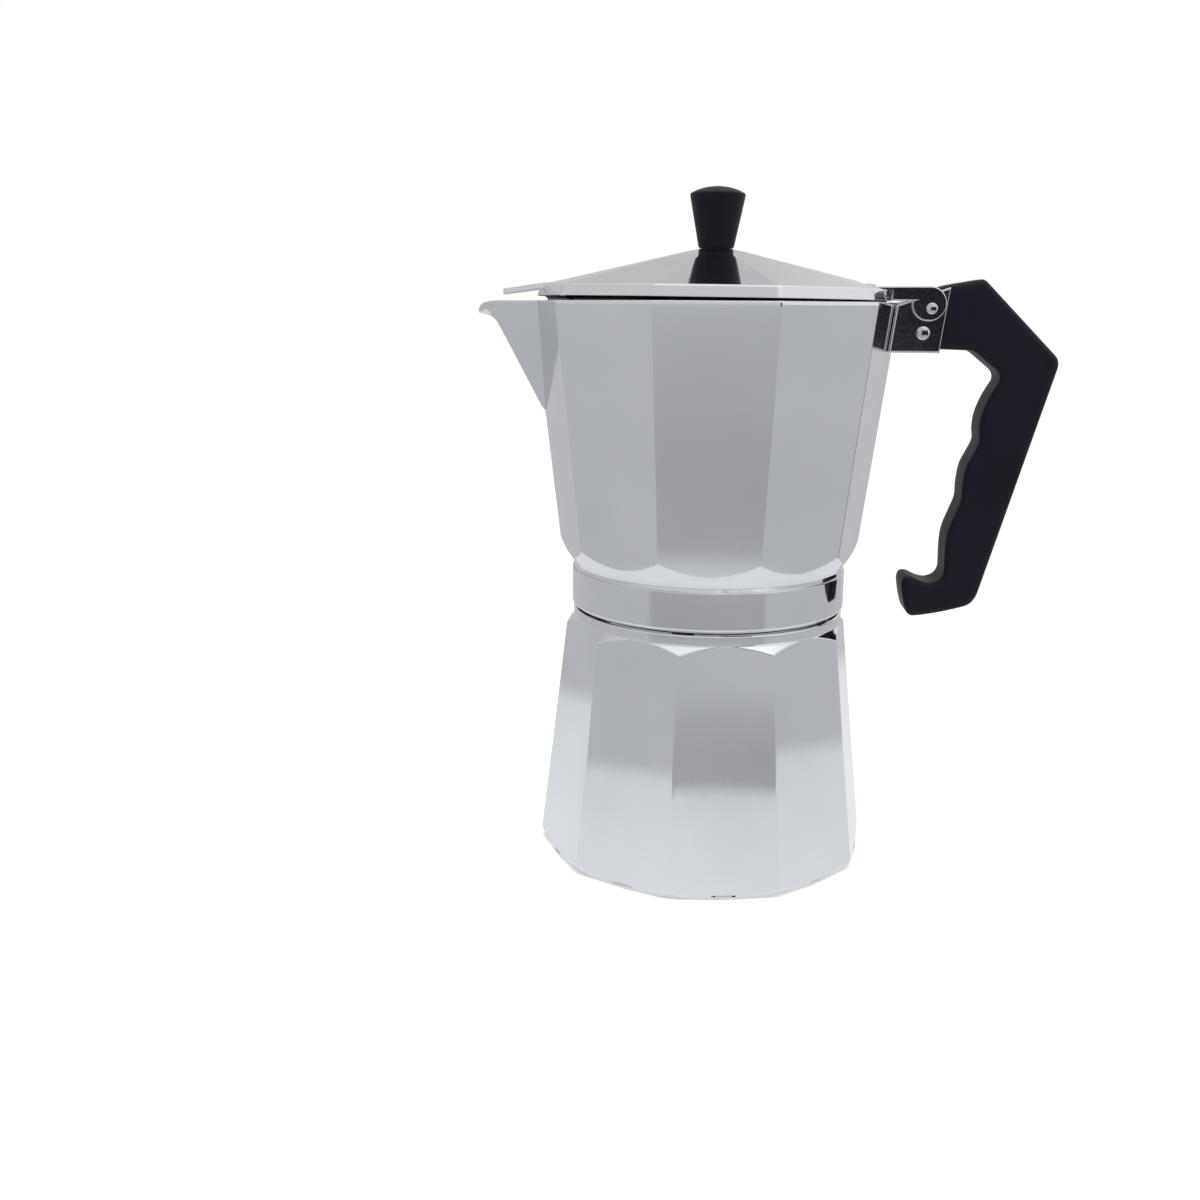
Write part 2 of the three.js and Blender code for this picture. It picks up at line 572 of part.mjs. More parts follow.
// ---------- knob ----------
function knob() {
  const footZ = LID_TOP_Z + GAP;
  return turned([
    [0, footZ + 11], [2.1, footZ + 11], [2.1, footZ], [6, footZ], [KNOB_FOOT_R, footZ + 0.5],
    [KNOB_R, 244.6], [9.8, 245.1], [7.4, 246.3], [4, 247.3], [0, KNOB_TOP_Z],
  ], 40);
}

const UNDER_LID_Z = LID_TOP_Z - LID_WALL - 1 - GAP;   // just below the roof's underside
const WASHER_LOW_Z = UNDER_LID_Z - 1;
const knobWasher = () => ring([
  [2.1, WASHER_LOW_Z], [5.4, WASHER_LOW_Z], [5.4, UNDER_LID_Z], [2.1, UNDER_LID_Z],
], 28);

function knobScrew() {
  const headZ = WASHER_LOW_Z - GAP;
  const screw = turned([
    [0, headZ - 2.2], [2.4, headZ - 2.2], [3.6, headZ - 1.2], [3.8, headZ], [1.8, headZ],
    [1.8, LID_TOP_Z + 10], [1, LID_TOP_Z + 10.8], [0, LID_TOP_Z + 10.8],
  ], 24);
  const slot = box([-5, 5], [-0.5, 0.5], [headZ - 4, headZ - 1.4]);
  return geometryOf(solid(screw).subtract(solid(slot)));
}

// ---------- assembly ----------
add('boiler', boiler(), POLISHED);
const valve = new THREE.Group();
valve.applyMatrix4(valveFrame);
pot.add(valve);
add('valve_body', valveBody(), BRASS, valve);
add('valve_cap', valveCap(), BRASS, valve);
add('valve_pin', valvePin(), STEEL, valve);
add('valve_spring', valveSpring(), STEEL, valve);

add('funnel_basket', funnelBasket(), SPUN);
add('funnel_stem', funnelStem(), SPUN);
add('basket_strainer', basketStrainer(), SPUN);
add('gasket', gasket(), SILICONE);
add('filter_plate', filterPlate(), SPUN);

add('collector_vessel', collectorVessel(), POLISHED);
add('riser_column', riserColumn(), SPUN);
add('column_cap', columnCap(), SPUN);
add('hinge_bracket', hingeBracket(), STEEL);
add('bracket_rivet_lower', wallRivet(WALL_RIVET_Z[0]), STEEL);
add('bracket_rivet_upper', wallRivet(WALL_RIVET_Z[1]), STEEL);
add('handle', handle(), BLACK);
add('handle_rivet', headedPin(HANDLE_RIVET, CHEEK_OUT + GAP, 2.4, 0.6), STEEL);
add('hinge_pin', headedPin(PIN, EAR_OUT + GAP, 2, 0.5), STEEL);

const lid = new THREE.Group();
lid.position.set(PIN.x, 0, PIN.z);
lid.rotation.y = LID_LIFT;
pot.add(lid);
const lidParts = new THREE.Group();
lidParts.position.set(-PIN.x, 0, -PIN.z);
lid.add(lidParts);
add('lid_shell', lidShell(), POLISHED, lidParts);
add('lid_strap', lidStrap(), STEEL, lidParts);
STRAP_RIVETS.forEach((spot, i) => add(`strap_rivet_${i + 1}`, strapRivet(spot), STEEL, lidParts));
add('knob', knob(), BLACK, lidParts);
add('knob_washer', knobWasher(), STEEL, lidParts);
add('knob_screw', knobScrew(), STEEL, lidParts);

export default pot;
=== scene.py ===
"""Looks of the moka pot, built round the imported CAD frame.

Lengths are in millimetres until a mesh is made; the studio and the camera are in metres.
"""

import math

import bmesh
import bpy
from mathutils import Matrix, Vector


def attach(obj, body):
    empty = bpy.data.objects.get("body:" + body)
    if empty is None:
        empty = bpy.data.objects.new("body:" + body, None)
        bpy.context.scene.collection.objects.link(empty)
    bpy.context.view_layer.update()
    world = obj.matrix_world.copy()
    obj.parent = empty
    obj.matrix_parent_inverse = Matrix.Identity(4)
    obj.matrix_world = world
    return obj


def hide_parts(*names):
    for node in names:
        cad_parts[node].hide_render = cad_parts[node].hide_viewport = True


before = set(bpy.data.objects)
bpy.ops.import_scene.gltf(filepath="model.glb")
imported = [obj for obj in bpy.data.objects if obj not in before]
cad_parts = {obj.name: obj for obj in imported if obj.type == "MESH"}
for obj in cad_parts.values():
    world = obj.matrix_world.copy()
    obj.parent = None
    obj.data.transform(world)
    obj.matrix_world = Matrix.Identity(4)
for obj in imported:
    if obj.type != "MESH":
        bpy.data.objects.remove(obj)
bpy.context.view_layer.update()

MM = 0.001
SIDES = 10
STEP = 2 * math.pi / SIDES
FLAT = math.cos(STEP / 2)
SLOPE = math.tan(STEP / 2)

# sizes shared with the CAD, in mm
BOILER_TURN = math.radians(7.5)
RIM_Z = 208.0
RIM_R = 67.3
WALL_TAPER = 0.12154
LEAN = math.atan(WALL_TAPER)
LEAN_Z = 200.0
PIN_X, PIN_Z = 76.7, 206.0
LID_LIFT = math.radians(0.55)
SPOUT_ROOT_Z = 166.5
SPOUT_REACH = 17.1          # how far the spout's ridge would stand out of the corner at the rim
SPOUT_HALF = 11.6           # from the corner to the spout's foot, along the facet, at the rim
THREAD_PITCH = 3.0


# ---------------------------------------------------------------- meshes
def obj_from(name, verts, faces, smooth_angle=38.0):
    """An object from points in millimetres, smooth except at edges sharper than smooth_angle degrees."""
    mesh = bpy.data.meshes.new(name)
    mesh.from_pydata([Vector(v) * MM for v in verts], [], faces)
    bm = bmesh.new()
    bm.from_mesh(mesh)
    bmesh.ops.remove_doubles(bm, verts=bm.verts, dist=2e-6)
    bmesh.ops.recalc_face_normals(bm, faces=bm.faces)
    bm.to_mesh(mesh)
    bm.free()
    obj = bpy.data.objects.new(name, mesh)
    bpy.context.scene.collection.objects.link(obj)
    smooth(obj, smooth_angle)
    return obj


def smooth(obj, angle=38.0):
    obj.data.shade_smooth()
    obj.data.set_sharp_from_angle(angle=math.radians(angle))


def grid(name, columns, close_rows=False, angle=38.0):
    """A surface from columns of points, closed round the columns, and along the rows too when close_rows."""
    count, rows = len(columns), len(columns[0])
    verts = [p for column in columns for p in column]
    faces = []
    for i in range(count):
        j = (i + 1) % count
        for k in range(rows if close_rows else rows - 1):
            n = (k + 1) % rows
            faces.append((i * rows + k, j * rows + k, j * rows + n, i * rows + n))
    return obj_from(name, verts, faces, angle)


def rounded(points, steps=4, closed=False):
    """The polyline with an arc at each corner that has a radius, its third number.

    A corner with a radius gives steps + 3 points and any other point gives one.
    """
    hold_share = 1.18
    out = []
    total = len(points)
    for i, point in enumerate(points):
        x, y = point[0], point[1]
        radius = point[2] if len(point) > 2 else 0
        inner = closed or 0 < i < total - 1
        if not radius or not inner:
            out.append((x, y))
            continue
        here = Vector((x, y))
        before = Vector(points[i - 1][:2]) - here
        after = Vector(points[(i + 1) % total][:2]) - here
        room = 0.42 * min(before.length, after.length)
        before.normalize()
        after.normalize()
        half = max(before.angle(after) / 2, 1e-4)
        reach = min(radius / math.tan(half), room) if half < math.pi / 2 - 1e-3 else min(radius, room) * 0.3
        hold = reach * hold_share
        out.append(tuple(here + before * hold))
        for k in range(steps + 1):
            t = k / steps
            a, b = here + before * reach, here + after * reach
            curve = a * (1 - t) ** 2 + here * 2 * t * (1 - t) + b * t ** 2
            out.append(tuple(curve))
        out.append(tuple(here + after * hold))
    return out


def lathe(name, profile, segments=96, closed=False, steps=4, centre=(0, 0), angle=38.0):
    """The profile, in radius and height, turned round an upright axis."""
    line = rounded(profile, steps, closed)
    columns = []
    for i in range(segments):
        a = 2 * math.pi * i / segments
        ca, sa = math.cos(a), math.sin(a)
        columns.append([(centre[0] + r * ca, centre[1] + r * sa, z) for r, z in line])
    return grid(name, columns, closed, angle)


def swept(name, sections, angle=50.0):
    """A solid through closed sections of equal length, filled at its two ends."""
    count, rows = len(sections), len(sections[0])
    verts = [p for section in sections for p in section]
    faces = [tuple(range(rows)), tuple((count - 1) * rows + k for k in range(rows))]
    for i in range(count - 1):
        for k in range(rows):
            n = (k + 1) % rows
            faces.append((i * rows + k, (i + 1) * rows + k, (i + 1) * rows + n, i * rows + n))
    return obj_from(name, verts, faces, angle)


def apply_modifiers(obj):
    graph = bpy.context.evaluated_depsgraph_get()
    mesh = bpy.data.meshes.new_from_object(obj.evaluated_get(graph), depsgraph=graph)
    obj.modifiers.clear()
    obj.data = mesh
    return obj


def weighted(obj):
    """Lets large flat faces set the shading of the round edges beside them."""
    obj.modifiers.new("weighted", "WEIGHTED_NORMAL").keep_sharp = True
    apply_modifiers(obj)


def place(obj, body, material, nodes, inner=None):
    """Gives the piece its material, its body and the CAD nodes it stands for."""
    obj.data.materials.clear()
    obj.data.materials.append(material)
    if inner is not None:
        obj.data.materials.append(inner)
    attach(obj, body)
    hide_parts(*nodes)
    return obj


# ---------------------------------------------------------------- ten-sided plans
ARC = [-1, -0.5, 0, 0.5, 1]         # across a rounded corner
ALONG = [0.015, 0.06, 0.13, 0.2, 0.262, 0.276, 0.36, 0.46, 0.56, 0.66, 0.76, 0.86, 0.93]
NOSE = [-1 + k / 16 for k in range(33)]     # across the spout's V
NOSE_BUNCHING = 1.35        # draws the nose's columns together at its ridge
NOSE_SOFT = 1.1             # largest rounding of the ridge


def plan_columns(nose_corner=None):
    """Columns round the decagon: (corner, side, value).

    Side 0 is the corner's own arc, value -1 to 1; side -1 or 1 is the flat beside it, value 1 at mid-facet.
    """
    columns = []
    for corner in range(SIDES):
        columns += [(corner, -1, q) for q in [1.0] + ALONG[::-1]]
        columns += [(corner, 0, a) for a in (NOSE if corner == nose_corner else ARC)]
        columns += [(corner, 1, q) for q in ALONG]
    return columns


def plan_point(column, radius, corner_r, turn=0.0, foot=0.0, reach=0.0):
    """A point of the decagon of corner radius `radius`; foot and reach pull the corner out into a V."""
    corner, side, value = column
    tangent = corner_r * SLOPE
    base = max(tangent, foot)
    half = radius * math.sin(STEP / 2)
    if side:
        d = base + value * (half - base)
        x, y = radius - d * math.sin(STEP / 2), side * d * FLAT
    elif reach > 0 and foot > tangent:
        x_foot = radius - base * math.sin(STEP / 2)
        y_foot = base * FLAT
        y = math.copysign(abs(value) ** NOSE_BUNCHING, value) * y_foot
        soft = min(NOSE_SOFT, 0.25 * y_foot)
        full = math.hypot(y_foot, soft) - soft
        x = radius + reach - (radius + reach - x_foot) * (math.hypot(y, soft) - soft) / full
    else:
        a = value * STEP / 2
        centre = radius - corner_r / FLAT
        x, y = centre + corner_r * math.cos(a), corner_r * math.sin(a)
    angle = turn + corner * STEP
    ca, sa = math.cos(angle), math.sin(angle)
    return Vector((x * ca - y * sa, x * sa + y * ca))


def meet(radius_at, cone_at, low, high):
    """The height between low and high where the wall's radius equals the cone's."""
    sign = radius_at(low) > cone_at(low)
    for _ in range(30):
        middle = (low + high) / 2
        if (radius_at(middle) > cone_at(middle)) == sign:
            low = middle
        else:
            high = middle
    return (low + high) / 2


def window(z, low, high, soft):
    """1 between low and high, fading to 0 over soft just inside each end."""
    rise = min(max((z - low) / soft, 0), 1)
    fall = min(max((high - z) / soft, 0), 1)
    return min(rise, fall)


def thread(angle, z, low):
    """Height of the round helical ridge, 0 to 1."""
    crest_width = 0.17
    phase = ((z - low) / THREAD_PITCH - angle / (2 * math.pi)) % 1.0
    return math.exp(-(((phase - 0.5) / crest_width) ** 2))


# ---------------------------------------------------------------- boiler
BOILER_CORNER_R = 1.6
BOILER_FOOT_R = 64.1
BOILER_TAPER = 0.1166
SHOULDER_CONE = 141.4       # radius and height add up to this where the wall meets the shoulder
NECK_R = 46.4
NECK_BORE_R = 44.4
NECK_THREAD_ROWS = 27


def boiler_radius(z):
    return BOILER_FOOT_R - BOILER_TAPER * z


def boiler_column(column):
    """The boiler's section at one column: foot, wall, shoulder, threaded neck and inside."""
    spot = plan_point(column, 60, BOILER_CORNER_R, BOILER_TURN)
    angle = math.atan2(spot.y, spot.x)

    def wall(z):
        return plan_point(column, boiler_radius(z), BOILER_CORNER_R, BOILER_TURN).length

    cornerness = (wall(2) / boiler_radius(2) - FLAT) / (1 - FLAT)
    low = 1.5 + 2.0 * cornerness
    high = meet(wall, lambda z: SHOULDER_CONE - z, 80, 92)
    line = rounded([
        (0, 0), (58.2, 0, 0.3), (58.7, 0.25, 0.2), (60.6, 0.05, 0.3), (61.15, 0.6, 0.3), (61.15, 1.0, 0.15),
        (wall(low), low, 0.5), (wall(high), high, 1.0), (51.0, 90.6, 1.8), (51.1, 94.0, 0.4),
        (50.6, 94.4, 0.2), (NECK_R, 94.4, 0.25),
    ])
    for k in range(NECK_THREAD_ROWS):
        z = 95 + k * 0.33
        ridge = 0.9 * thread(angle, z, 95.0) * window(z, 95.4, 103.4, 0.9)
        line.append((NECK_R + ridge, z))
    line += rounded([
        (NECK_R, 103.7), (NECK_R, 105, 0.5), (NECK_BORE_R, 105, 0.5), (NECK_BORE_R, 91.5, 3), (48.4, 84, 3),
        (57.1, 8.6, 3), (55.6, 5, 1.5), (52, 3.6, 2), (0, 3.6),
    ])
    return [(r * math.cos(angle), r * math.sin(angle), z) for r, z in line]


def build_boiler():
    return grid("boiler_cast", [boiler_column(c) for c in plan_columns()])


# ---------------------------------------------------------------- collector
COLLECTOR_CORNER_R = 1.5
SPOUT_CORNER = 5
WALL_IN = 2.9 / FLAT
BAND_R = 51.6
BAND_BORE_R = 48.7
BAND_THREAD_ROWS = 28
COLUMN_HOLE_R = 6.3
RIM_ROUND = 0.45
SPOUT_WALL = 1.65
PAD_OUT, PAD_IN, PAD_HALF = 1.2, 6.6, 5.6       # the flat that the bracket is riveted to, at corner 0
PAD_LOW_Z, PAD_TOP_Z = 190, 204.9
LIP_ROOT_Z = 198.4
LIP_OUT = [
    (-79.2, LIP_ROOT_Z), (-80.3, 200.2), (-81.5, 201.6), (-83.0, 202.5), (-85.2, 203.0), (-87.15, 203.5),
]
LIP_IN = [
    (-75.4, LIP_ROOT_Z), (-77.0, 200.6), (-78.8, 202.4), (-80.8, 203.6), (-83.2, 204.2), (-85.6, 204.3),
]
LIP_ROWS = len(LIP_OUT)
LIP_HALF = 3.0
WALL_ROWS = [
    130, 145, 158, 165.6, 166.6, 167.6, 169, 171, 173.5, 176.5, 180, 184, 187,
    189.4, 189.9, 190.05, 193, 196,
]


def collector_radius(z):
    return RIM_R - (RIM_Z - z) * WALL_TAPER


def collector_point(column, z, inside):
    """A point of the vessel's wall, with the spout's V at one corner and the bracket's pad opposite it."""
    rise = max(z - SPOUT_ROOT_Z, 0) / (RIM_Z - SPOUT_ROOT_Z)
    radius = collector_radius(z) - (WALL_IN if inside else 0)
    reach = SPOUT_REACH * rise - (SPOUT_WALL if inside else 0)
    spout = column[0] == SPOUT_CORNER and reach > 0
    foot = SPOUT_HALF / SPOUT_REACH * reach if spout else 0
    spot = plan_point(column, radius, COLLECTOR_CORNER_R, 0, foot, reach if spout else 0)
    if column[0] == 0 and z > PAD_LOW_Z:
        if inside and abs(spot.y) < PAD_HALF and z < PAD_TOP_Z:
            spot.x = min(spot.x, collector_radius(z) - PAD_IN / math.cos(LEAN))
        elif not inside:
            spot.x = min(spot.x, collector_radius(z) - PAD_OUT / math.cos(LEAN))
    return spot


def lip_share(y):
    """1 at the middle of the pouring lip, 0 beyond its sides."""
    t = min(abs(y) / LIP_HALF, 1)
    return (1 - t * t) ** 1.2


def top_rows(column, inside):
    """The last rows below the rim, pulled out into the lip near the spout's nose."""
    lip = LIP_IN if inside else LIP_OUT
    rows = []
    for k in range(LIP_ROWS):
        z = LIP_ROOT_Z + (RIM_Z - RIM_ROUND - LIP_ROOT_Z) * k / (LIP_ROWS - 1)
        spot = collector_point(column, z, inside)
        share = lip_share(spot.y) if column[0] == SPOUT_CORNER and spot.x < -66 else 0
        x = spot.x + share * (lip[k][0] - spot.x)
        drop = 1 - math.sqrt(1 - share * share)
        rows.append(Vector((x, spot.y, z + drop * (lip[k][1] - z))))
    return rows


def collector_column(column):
    """The collector's closed section at one column: floor, thread, band, cove, wall, rim and inside."""
    spot = plan_point(column, 55, COLLECTOR_CORNER_R)
    angle = math.atan2(spot.y, spot.x)

    def turned(points):
        return [Vector((r * math.cos(angle), r * math.sin(angle), z)) for r, z in points]

    def wall(z):
        return collector_point(column, z, False).length

    def inner(z):
        return collector_point(column, z, True).length

    low = meet(wall, lambda z: 53.4 + (z - 115.4) * 0.731, 110, 126)
    low_in = meet(inner, lambda z: 50.6 + (z - 115) * 0.6, 110, 126)
    points = turned(rounded([
        (COLUMN_HOLE_R, 111.6), (12, 111.6, 1), (38, 110.3, 1), (BAND_BORE_R, 110.3, 0.4),
        (BAND_BORE_R, 105.0),
    ]))
    for k in range(BAND_THREAD_ROWS):
        z = 104.8 - k * 0.31
        ridge = 0.7 * thread(angle, z, 95.6) * window(z, 96.2, 104.4, 0.9)
        points += turned([(BAND_BORE_R - ridge, z)])
    points += turned(rounded([
        (BAND_BORE_R, 96.2), (BAND_BORE_R, 95.3, 0.25), (50.7, 95.3, 0.3), (BAND_R, 96.3, 1.0),
        (BAND_R, 109.5, 0.3),
        (51.15, 110.0, 0.3), (51.0, 111.3, 0.8), (51.5, 112.7, 1.2), (52.75, 114.55, 0.6),
        (wall(low), low, 1.7), (wall(125), 125.0),
    ]))
    points += [collector_point(column, z, False).to_3d() + Vector((0, 0, z)) for z in WALL_ROWS]
    outside = top_rows(column, False)
    within = top_rows(column, True)
    points += outside
    across = within[-1] - outside[-1]
    across.z = 0
    step = min(RIM_ROUND, across.length * 0.3)
    across.normalize()
    quarter = [k / 4 * math.pi / 2 for k in range(1, 5)]
    for a in quarter:
        rise = Vector((0, 0, RIM_ROUND * math.sin(a)))
        points.append(outside[-1] + across * step * (1 - math.cos(a)) + rise)
    for a in quarter[::-1]:
        rise = Vector((0, 0, RIM_ROUND * math.sin(a)))
        points.append(within[-1] - across * step * (1 - math.cos(a)) + rise)
    points += within[::-1]
    points += [collector_point(column, z, True).to_3d() + Vector((0, 0, z)) for z in WALL_ROWS[::-1]]
    points += turned(rounded([
        (inner(126), 126.0), (inner(low_in), low_in, 3.0), (50.0, 114.1, 1.4), (47.6, 113.5, 1.2),
        (7.0, 113.5, 0.3), (COLUMN_HOLE_R, 113.2),
    ]))
    return points


def build_collector():
    columns = [collector_column(c) for c in plan_columns(SPOUT_CORNER)]
    return grid("collector_cast", columns, True, 55)


# ---------------------------------------------------------------- lid
LID_TILT = (
    Matrix.Translation((PIN_X * MM, 0, PIN_Z * MM))
    @ Matrix.Rotation(LID_LIFT, 4, "Y")
    @ Matrix.Translation((-PIN_X * MM, 0, -PIN_Z * MM))
)


def tilt(obj):
    """Turns a piece of the lid about the hinge pin by the small angle at which the closed lid rests."""
    obj.data.transform(LID_TILT)
    return obj


LID_CORNER_R = 2.2
LID_EDGE_R = 64.2           # corner radius where the roof ends
LID_LOW_R = 65.4            # and at the foot of the lid's side
LID_EDGE_Z = 212.3
LID_LOW_Z = 208.2
SKIRT_R = 61.6              # outside of the ring that drops into the collector
SKIRT_IN_R = 60.2
BOSS_R, BOSS_Z = 9.4, 225.15
ROOF_SLOPE = 0.235
BEAK_FALL = 0.17
BEAK_FOOT = (61.4, 8.63)    # ends of the beak's straight side, seen from above
BEAK_TIP = (77.2, 2.3)
BEAK_LENGTH = 77.9
FAN = math.radians(8.4)     # half of the angle that the beak's own columns cover
FAN_COLUMNS = 41


def beak_edge(angle):
    """Radius of the beak's outline at an angle from the spout's direction, 0 where there is no beak."""
    a = abs(angle)
    foot_a = math.atan2(BEAK_FOOT[1], BEAK_FOOT[0])
    tip_a = math.atan2(BEAK_TIP[1], BEAK_TIP[0])
    if a >= foot_a:
        return 0
    if a <= tip_a:
        return BEAK_LENGTH - 0.6 * (a / tip_a) ** 2
    run = Vector(BEAK_TIP) - Vector(BEAK_FOOT)
    side = math.cos(a) * run.y - math.sin(a) * run.x
    return (BEAK_FOOT[0] * run.y - BEAK_FOOT[1] * run.x) / side


def lid_columns():
    """Decagon columns as (angle, share of the corner radius), with a fan of extra ones where the beak is."""
    found = []
    for column in plan_columns():
        spot = plan_point(column, LID_EDGE_R, LID_CORNER_R)
        angle = math.atan2(spot.y, spot.x)
        off = math.remainder(angle - math.pi, 2 * math.pi)
        if abs(off) > FAN:
            found.append((angle, spot.length / LID_EDGE_R))
    for k in range(FAN_COLUMNS):
        off = FAN * (2 * k / (FAN_COLUMNS - 1) - 1)
        angle = math.pi + off
        d = abs(math.tan(off))
        share = 1 / (math.cos(off) * (1 + d * SLOPE))
        blunt = LID_CORNER_R / LID_EDGE_R * (1 / FLAT - 1)
        peak = math.exp(-((off / 0.012) ** 2))
        found.append((math.remainder(angle, 2 * math.pi), share - blunt * peak))
    return sorted(found, key=lambda c: c[0] % (2 * math.pi))


def lid_column(angle, share):
    """The lid's section at one column: boss, roof, shoulder or beak, side, skirt and underside."""
    edge = LID_EDGE_R * share
    low = LID_LOW_R * share
    skirt = SKIRT_R * share
    skirt_in = SKIRT_IN_R * share
    beak = max(beak_edge(math.remainder(angle - math.pi, 2 * math.pi)), edge)
    roof = [
        (BOSS_R + (edge - BOSS_R) * t, BOSS_Z + (LID_EDGE_Z - BOSS_Z) * t)
        for t in (0.25, 0.5, 0.75, 0.93)
    ]
    line = rounded([(0, 225.7), (6.6, 225.7, 0.35), (7.3, 225.4, 0.4), (8.2, 225.3, 0.4), (BOSS_R, BOSS_Z)])
    # Both shoulders have three rounded points, so that all columns have as many rows.
    if beak - edge > 0.5:
        tip_z = LID_EDGE_Z + 0.75 - BEAK_FALL * (beak - edge)
        shoulder = [(beak, tip_z, 0.5), (beak, tip_z - 2.2, 0.5), (edge + 0.2, LID_EDGE_Z - 1.4, 0.4)]
    else:
        top = edge + 0.25
        shoulder = [
            (edge - 1.3, LID_EDGE_Z + 1.3 * ROOF_SLOPE, 0.5), (top, LID_EDGE_Z - 0.06, 2.0),
            (top + (low - top) * 0.45, 210.5, 0.5),
        ]
    line += roof + rounded([
        roof[-1], *shoulder, (low, LID_LOW_Z + 0.3, 0.3), (low - 0.4, LID_LOW_Z, 0.2),
        (skirt + 1.0, LID_LOW_Z, 0.3), (skirt, 207.4, 0.3), (skirt - 0.3, 206.2, 0.3),
        (skirt_in, 206.2, 0.3), (skirt_in, 211.5, 0.8), (8, 222.9, 1), (0, 222.9),
    ], 6)
    return [(r * math.cos(angle), r * math.sin(angle), z) for r, z in line]


def block(name, low, high):
    verts = [(x, y, z) for x in (low[0], high[0]) for y in (low[1], high[1]) for z in (low[2], high[2])]
    faces = [(0, 1, 3, 2), (4, 6, 7, 5), (0, 4, 5, 1), (2, 3, 7, 6), (0, 2, 6, 4), (1, 5, 7, 3)]
    return obj_from(name, verts, faces)


def carve(obj, cutters, operation="DIFFERENCE"):
    for cutter in cutters:
        boolean = obj.modifiers.new("carve", "BOOLEAN")
        boolean.operation = operation
        boolean.object = cutter
        boolean.solver = "EXACT"
    apply_modifiers(obj)
    for cutter in cutters:
        bpy.data.objects.remove(cutter)
    return obj


def build_lid():
    """The cast lid, with its handle corner cut back to a flat seat for the strap."""
    lid = grid("lid_cast", [lid_column(a, s) for a, s in lid_columns()])
    carve(lid, [block("pad", (50, -12, 210), (61.4, 12, 213.4))], "UNION")
    carve(lid, [
        block("seat", (51.4, -12.2, 212.1), (90, 12.2, 240)),
        block("corner", (62.1, -12.2, 203), (90, 12.2, 240)),
    ])
    smooth(lid, 55)
    return tilt(lid)


# ---------------------------------------------------------------- handle
def quad(start, middle, end, steps=8):
    """A bent line from start to end that leaves and arrives in line with middle."""
    points = []
    for k in range(1, steps + 1):
        t = k / steps
        points.append(tuple(
            start[i] * (1 - t) ** 2 + middle[i] * 2 * t * (1 - t) + end[i] * t * t for i in (0, 1)
        ))
    return points


def spline(points, steps=6):
    """A smooth line through all the points."""
    out = []
    for i in range(len(points) - 1):
        p = [points[max(i - 1, 0)], points[i], points[i + 1], points[min(i + 2, len(points) - 1)]]
        for k in range(1, steps + 1):
            t = k / steps
            out.append(tuple(0.5 * (
                2 * p[1][c] + (p[2][c] - p[0][c]) * t
                + (2 * p[0][c] - 5 * p[1][c] + 4 * p[2][c] - p[3][c]) * t * t
                + (3 * p[1][c] - p[0][c] - 3 * p[2][c] + p[3][c]) * t ** 3
            ) for c in (0, 1)))
    return out


def handle_outline():
    """The handle in x and z: top, back, hook, then the finger waves up to the fork."""
    line = [(70.2, 192.0), (71.8, 206)]
    line += quad((71.8, 206), (72.6, 211.6), (77, 212.6))
    line += [(83.7, 214.4), (94.0, 216.2)]
    line += quad((94.0, 216.2), (95.3, 216.5), (96.6, 215.2), 5)
    line += [(109.3, 202.6), (122, 190)]
    line += quad((122, 190), (124, 188), (123.2, 185), 6)
    line += [(115.8, 157.7), (108.4, 130.3), (101, 103)]
    line += quad((101, 103), (99.8, 98.2), (96, 97), 7)
    line += quad((96, 97), (86, 94), (78, 93.1), 6)
    line += quad((78, 93.1), (75.4, 92.8), (74.5, 95.6), 6)
    line += quad((74.5, 95.6), (73, 100), (72.5, 105), 5)
    line += quad((72.5, 105), (72.5, 109.4), (76.7, 107.9), 6)
    line += quad((76.7, 107.9), (80, 106), (82.7, 105.9), 5)
    line += quad((82.7, 105.9), (87.8, 106.4), (87.9, 111.2), 7)
    line += spline([
        (87.9, 111.2), (87.7, 119), (88.3, 125.4), (90.7, 132.4), (92.3, 137.2), (92.4, 142.4), (93.2, 149),
        (95.3, 153.9), (97.3, 158.6), (97, 163), (97.5, 168.4), (99.8, 174.8), (102.9, 180.4),
    ])
    line += quad((102.9, 180.4), (103.6, 183), (101, 185), 6)
    line += [(94.8, 190)]
    line += quad((94.8, 190), (93.2, 191.4), (91, 191.4), 4)
    return line


def side_slab(name, outline, half, edge, centre_y=0.0, resolution=3):
    """A slab with round edges, its outline drawn in x and z, its two sides half away from centre_y."""
    curve = bpy.data.curves.new(name, "CURVE")
    curve.dimensions = "2D"
    curve.fill_mode = "BOTH"
    curve.extrude = (half - edge) * MM
    curve.bevel_depth = edge * MM
    curve.bevel_resolution = resolution
    curve.offset = -edge * MM
    line = curve.splines.new("POLY")
    line.points.add(len(outline) - 1)
    for point, (x, z) in zip(line.points, outline):
        point.co = (x * MM, z * MM, 0, 1)
    line.use_cyclic_u = True
    source = bpy.data.objects.new(name + "_source", curve)
    bpy.context.scene.collection.objects.link(source)
    bpy.context.view_layer.update()
    graph = bpy.context.evaluated_depsgraph_get()
    mesh = bpy.data.meshes.new_from_object(source.evaluated_get(graph), depsgraph=graph)
    bpy.data.objects.remove(source)
    mesh.transform(Matrix.Translation((0, centre_y * MM, 0)) @ Matrix.Rotation(math.pi / 2, 4, "X"))
    bm = bmesh.new()
    bm.from_mesh(mesh)
    bmesh.ops.remove_doubles(bm, verts=bm.verts, dist=1e-5)
    bmesh.ops.recalc_face_normals(bm, faces=bm.faces)
    bm.to_mesh(mesh)
    bm.free()
    obj = bpy.data.objects.new(name, mesh)
    bpy.context.scene.collection.objects.link(obj)
    smooth(obj, 50)
    weighted(obj)
    return obj


def build_handle():
    half_width, edge_round = 8.7, 2.4
    return side_slab("handle_grip", handle_outline(), half_width, edge_round, resolution=5)


